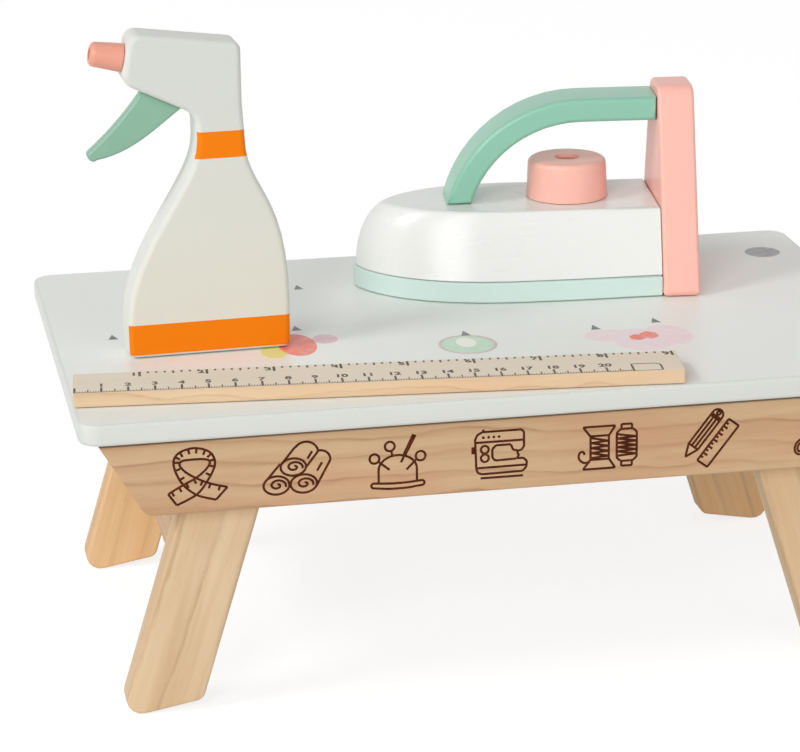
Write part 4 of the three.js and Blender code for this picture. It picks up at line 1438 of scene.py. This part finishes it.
@dataclass
class Ruler:
    """The wooden ruler with its two printed scales.

    The kinds of marks are given as how many steps apart they stand, their length and their width.
    """

    corner: Point = (-164.8, -83.1)
    turn: float = -5.4
    width: float = 24.5
    top_z: float = 127.4
    first_centimetre: float = 0.5
    first_inch: float = -0.4
    centimetres: int = 22
    inches: int = 9
    mark_edge: float = 0.7
    centimetre_marks: tuple[tuple[int, float, float], ...] = ((10, 5.6, 0.85), (5, 3.2, 0.5), (1, 1.6, 0.25))
    inch_marks: tuple[tuple[int, float, float], ...] = ((8, 5.6, 1.0), (4, 3.0, 0.8), (1, 2.0, 0.8))
    mark_height: float = 0.04
    figure_size: float = 5.0
    figure_weight: float = 0.2
    figure_depth: float = 0.02
    front_figure_y: float = 8.9
    rear_figure_y: float = 21.1
    rear_figure_shift: float = -2.2
    frame_length: float = 11.0
    frame_top: float = 9.2
    frame_bend: float = 2.4
    ink: Ink = Ink((76, 64, 48), (214, 196, 172), cover=0.84, gloss=0.6)
    wood: Pine = Pine(
        light=(229, 202, 167),
        body=(217, 186, 151),
        ring=(200, 157, 118),
        warm=(221, 182, 142),
        spacing=4.2,
        heart_behind=60.0,
        ring_strength=0.4,
        ragged=0.4,
        seed=9.0,
        faded=(246, 238, 222),
    )

    def build(self) -> None:
        """Finishes the strip and prints its scales."""
        angle = math.radians(self.turn)
        lie = Lie((*self.corner, self.top_z), (math.cos(angle), math.sin(angle), 0.0))
        finish_node("ruler", "ruler_strip", "ruler", self.wood.material("ruler_wood_grain", lie))
        self.print_scales()

    def print_scales(self) -> None:
        """Prints centimetres along the front edge and inches along the back."""
        printed = self.ink.material("scale_ink")
        front = [self.first_centimetre + 10.0 * k for k in range(1, self.centimetres - 1)]
        rear = [self.first_inch + 25.4 * k + self.rear_figure_shift for k in range(1, self.inches + 1)]
        prints = (
            self.marks(),
            self.end_frame(),
            self.figures("front_figures", front, self.front_figure_y),
            self.figures("rear_figures", rear, self.rear_figure_y),
        )
        for obj in prints:
            obj.rotation_euler = (0.0, 0.0, math.radians(self.turn))
            obj.location = Vector((*self.corner, self.top_z)) * MM
            settle(obj)
            fit(obj, "ruler", printed)

    def end_frame(self) -> Piece:
        """Draws the frame after the last centimetre, rounded at its end.

        Returns:
            The frame in the ruler's own axes.
        """
        left = self.first_centimetre + 10.0 * (self.centimetres - 1)
        right = left + self.frame_length
        low, high, bend = self.mark_edge, self.frame_top, self.frame_bend
        corner = arc((right - bend, high - bend), (bend, bend), 90, 0, 6)
        outline = [(left, low), (left, high), *corner, (right, low)]
        return LineArt(width=0.75, lift=0.02).draw("scale_end_frame", [outline], Vector(), Euler())

    def bars(self) -> list[tuple[float, float, float, float]]:
        """Lists the marks of both scales and the line along the front one.

        Returns:
            Middle along the ruler, first and last place across it, and width of each.
        """
        end = self.first_centimetre + 10.0 * self.centimetres
        bars = [(end / 2 + 0.5, 0.5, 0.95, end + 1.0)]
        low, high = self.mark_edge, self.width - 0.5
        for k in range(self.centimetres * 10 - 9):
            long, wide = self.mark(k, self.centimetre_marks)
            bars.append((self.first_centimetre + k, low, low + long, wide))
        for k in range(8, self.inches * 8 + 1):
            long, wide = self.mark(k, self.inch_marks)
            bars.append((self.first_inch + k * 25.4 / 8, high - long, high, wide))
        return bars

    @staticmethod
    def mark(step: int, kinds: Sequence[tuple[int, float, float]]) -> Point:
        """Length and width of a step's mark, those of the first kind that stands there."""
        return next((long, wide) for every, long, wide in kinds if step % every == 0)

    def marks(self) -> Piece:
        """Draws the marks of both scales as thin printed bars.

        Returns:
            The marks in the ruler's own axes.
        """
        bar = add(bpy.ops.mesh.primitive_cube_add, size=1.0)
        pieces = []
        for x, low, high, wide in self.bars():
            copy = bar.copy()
            copy.data = bar.data.copy()
            bpy.context.scene.collection.objects.link(copy)
            copy.scale = (wide * MM, (high - low) * MM, self.mark_height * MM)
            copy.location = (x * MM, (low + high) / 2 * MM, 0.0)
            pieces.append(copy)
        bpy.data.objects.remove(bar)
        return gather(pieces, "scale_marks")

    def figures(self, name: str, places: Sequence[float], y: float) -> Piece:
        """Prints the figures of one scale.

        Args:
            name: The piece's name.
            places: Where the figures' middles stand along the ruler, from the figure 1 on.
            y: Height of their middles on the ruler's width.

        Returns:
            The figures in the ruler's own axes.
        """
        pieces = []
        for number, x in enumerate(places, 1):
            figure = add(bpy.ops.object.text_add)
            figure.data.body = str(number)
            figure.data.size = self.figure_size * MM
            figure.data.offset = self.figure_weight * MM
            figure.data.align_x = "CENTER"
            figure.data.align_y = "CENTER"
            figure.data.resolution_u = 3
            figure.data.extrude = self.figure_depth * MM
            bpy.ops.object.convert(target="MESH")
            figure = bpy.context.object
            figure.location = (x * MM, y * MM, 0.0)
            pieces.append(figure)
        return gather(pieces, name)


@dataclass
class HiddenPieces:
    """Dowels and the knob's screw, which keep their CAD shapes."""

    dowel: Pine = DOWEL_WOOD
    screw: Steel = STEEL

    def build(self) -> None:
        """Gives the hidden pieces their wood and metal."""
        coat(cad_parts["iron_knob_screw"], self.screw.material("knob_screw_steel"))
        for name in sorted(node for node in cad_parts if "dowel" in node):
            low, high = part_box(name)
            size = high - low
            along = tuple(1.0 if length == max(size) else 0.0 for length in size)
            outward = UPWARD if along[2] == 0.0 else (1.0, 0.0, 0.0)
            lie = Lie(tuple((low + high) / 2 / MM), along, outward)
            grain = replace(self.dowel, seed=lie.middle[0])
            coat(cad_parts[name], grain.material(f"{name}_beech", lie))


def main() -> None:
    """Builds the studio and dresses every sub-assembly in order."""
    logging.basicConfig(level=logging.INFO, format="%(name)s: %(message)s")
    bpy.context.scene.view_settings.view_transform = "Standard"
    parts = (
        Studio(),
        Table(),
        LegPair("left", "left_leg_frame", -1.0, 11.0),
        LegPair("right", "right_leg_frame", 1.0, 15.0),
        Iron(),
        SprayBottle(),
        Ruler(),
        HiddenPieces(),
    )
    for part in parts:
        part.build()
        log.info("%s is finished", type(part).__name__)


if __name__ == "__main__":
    main()
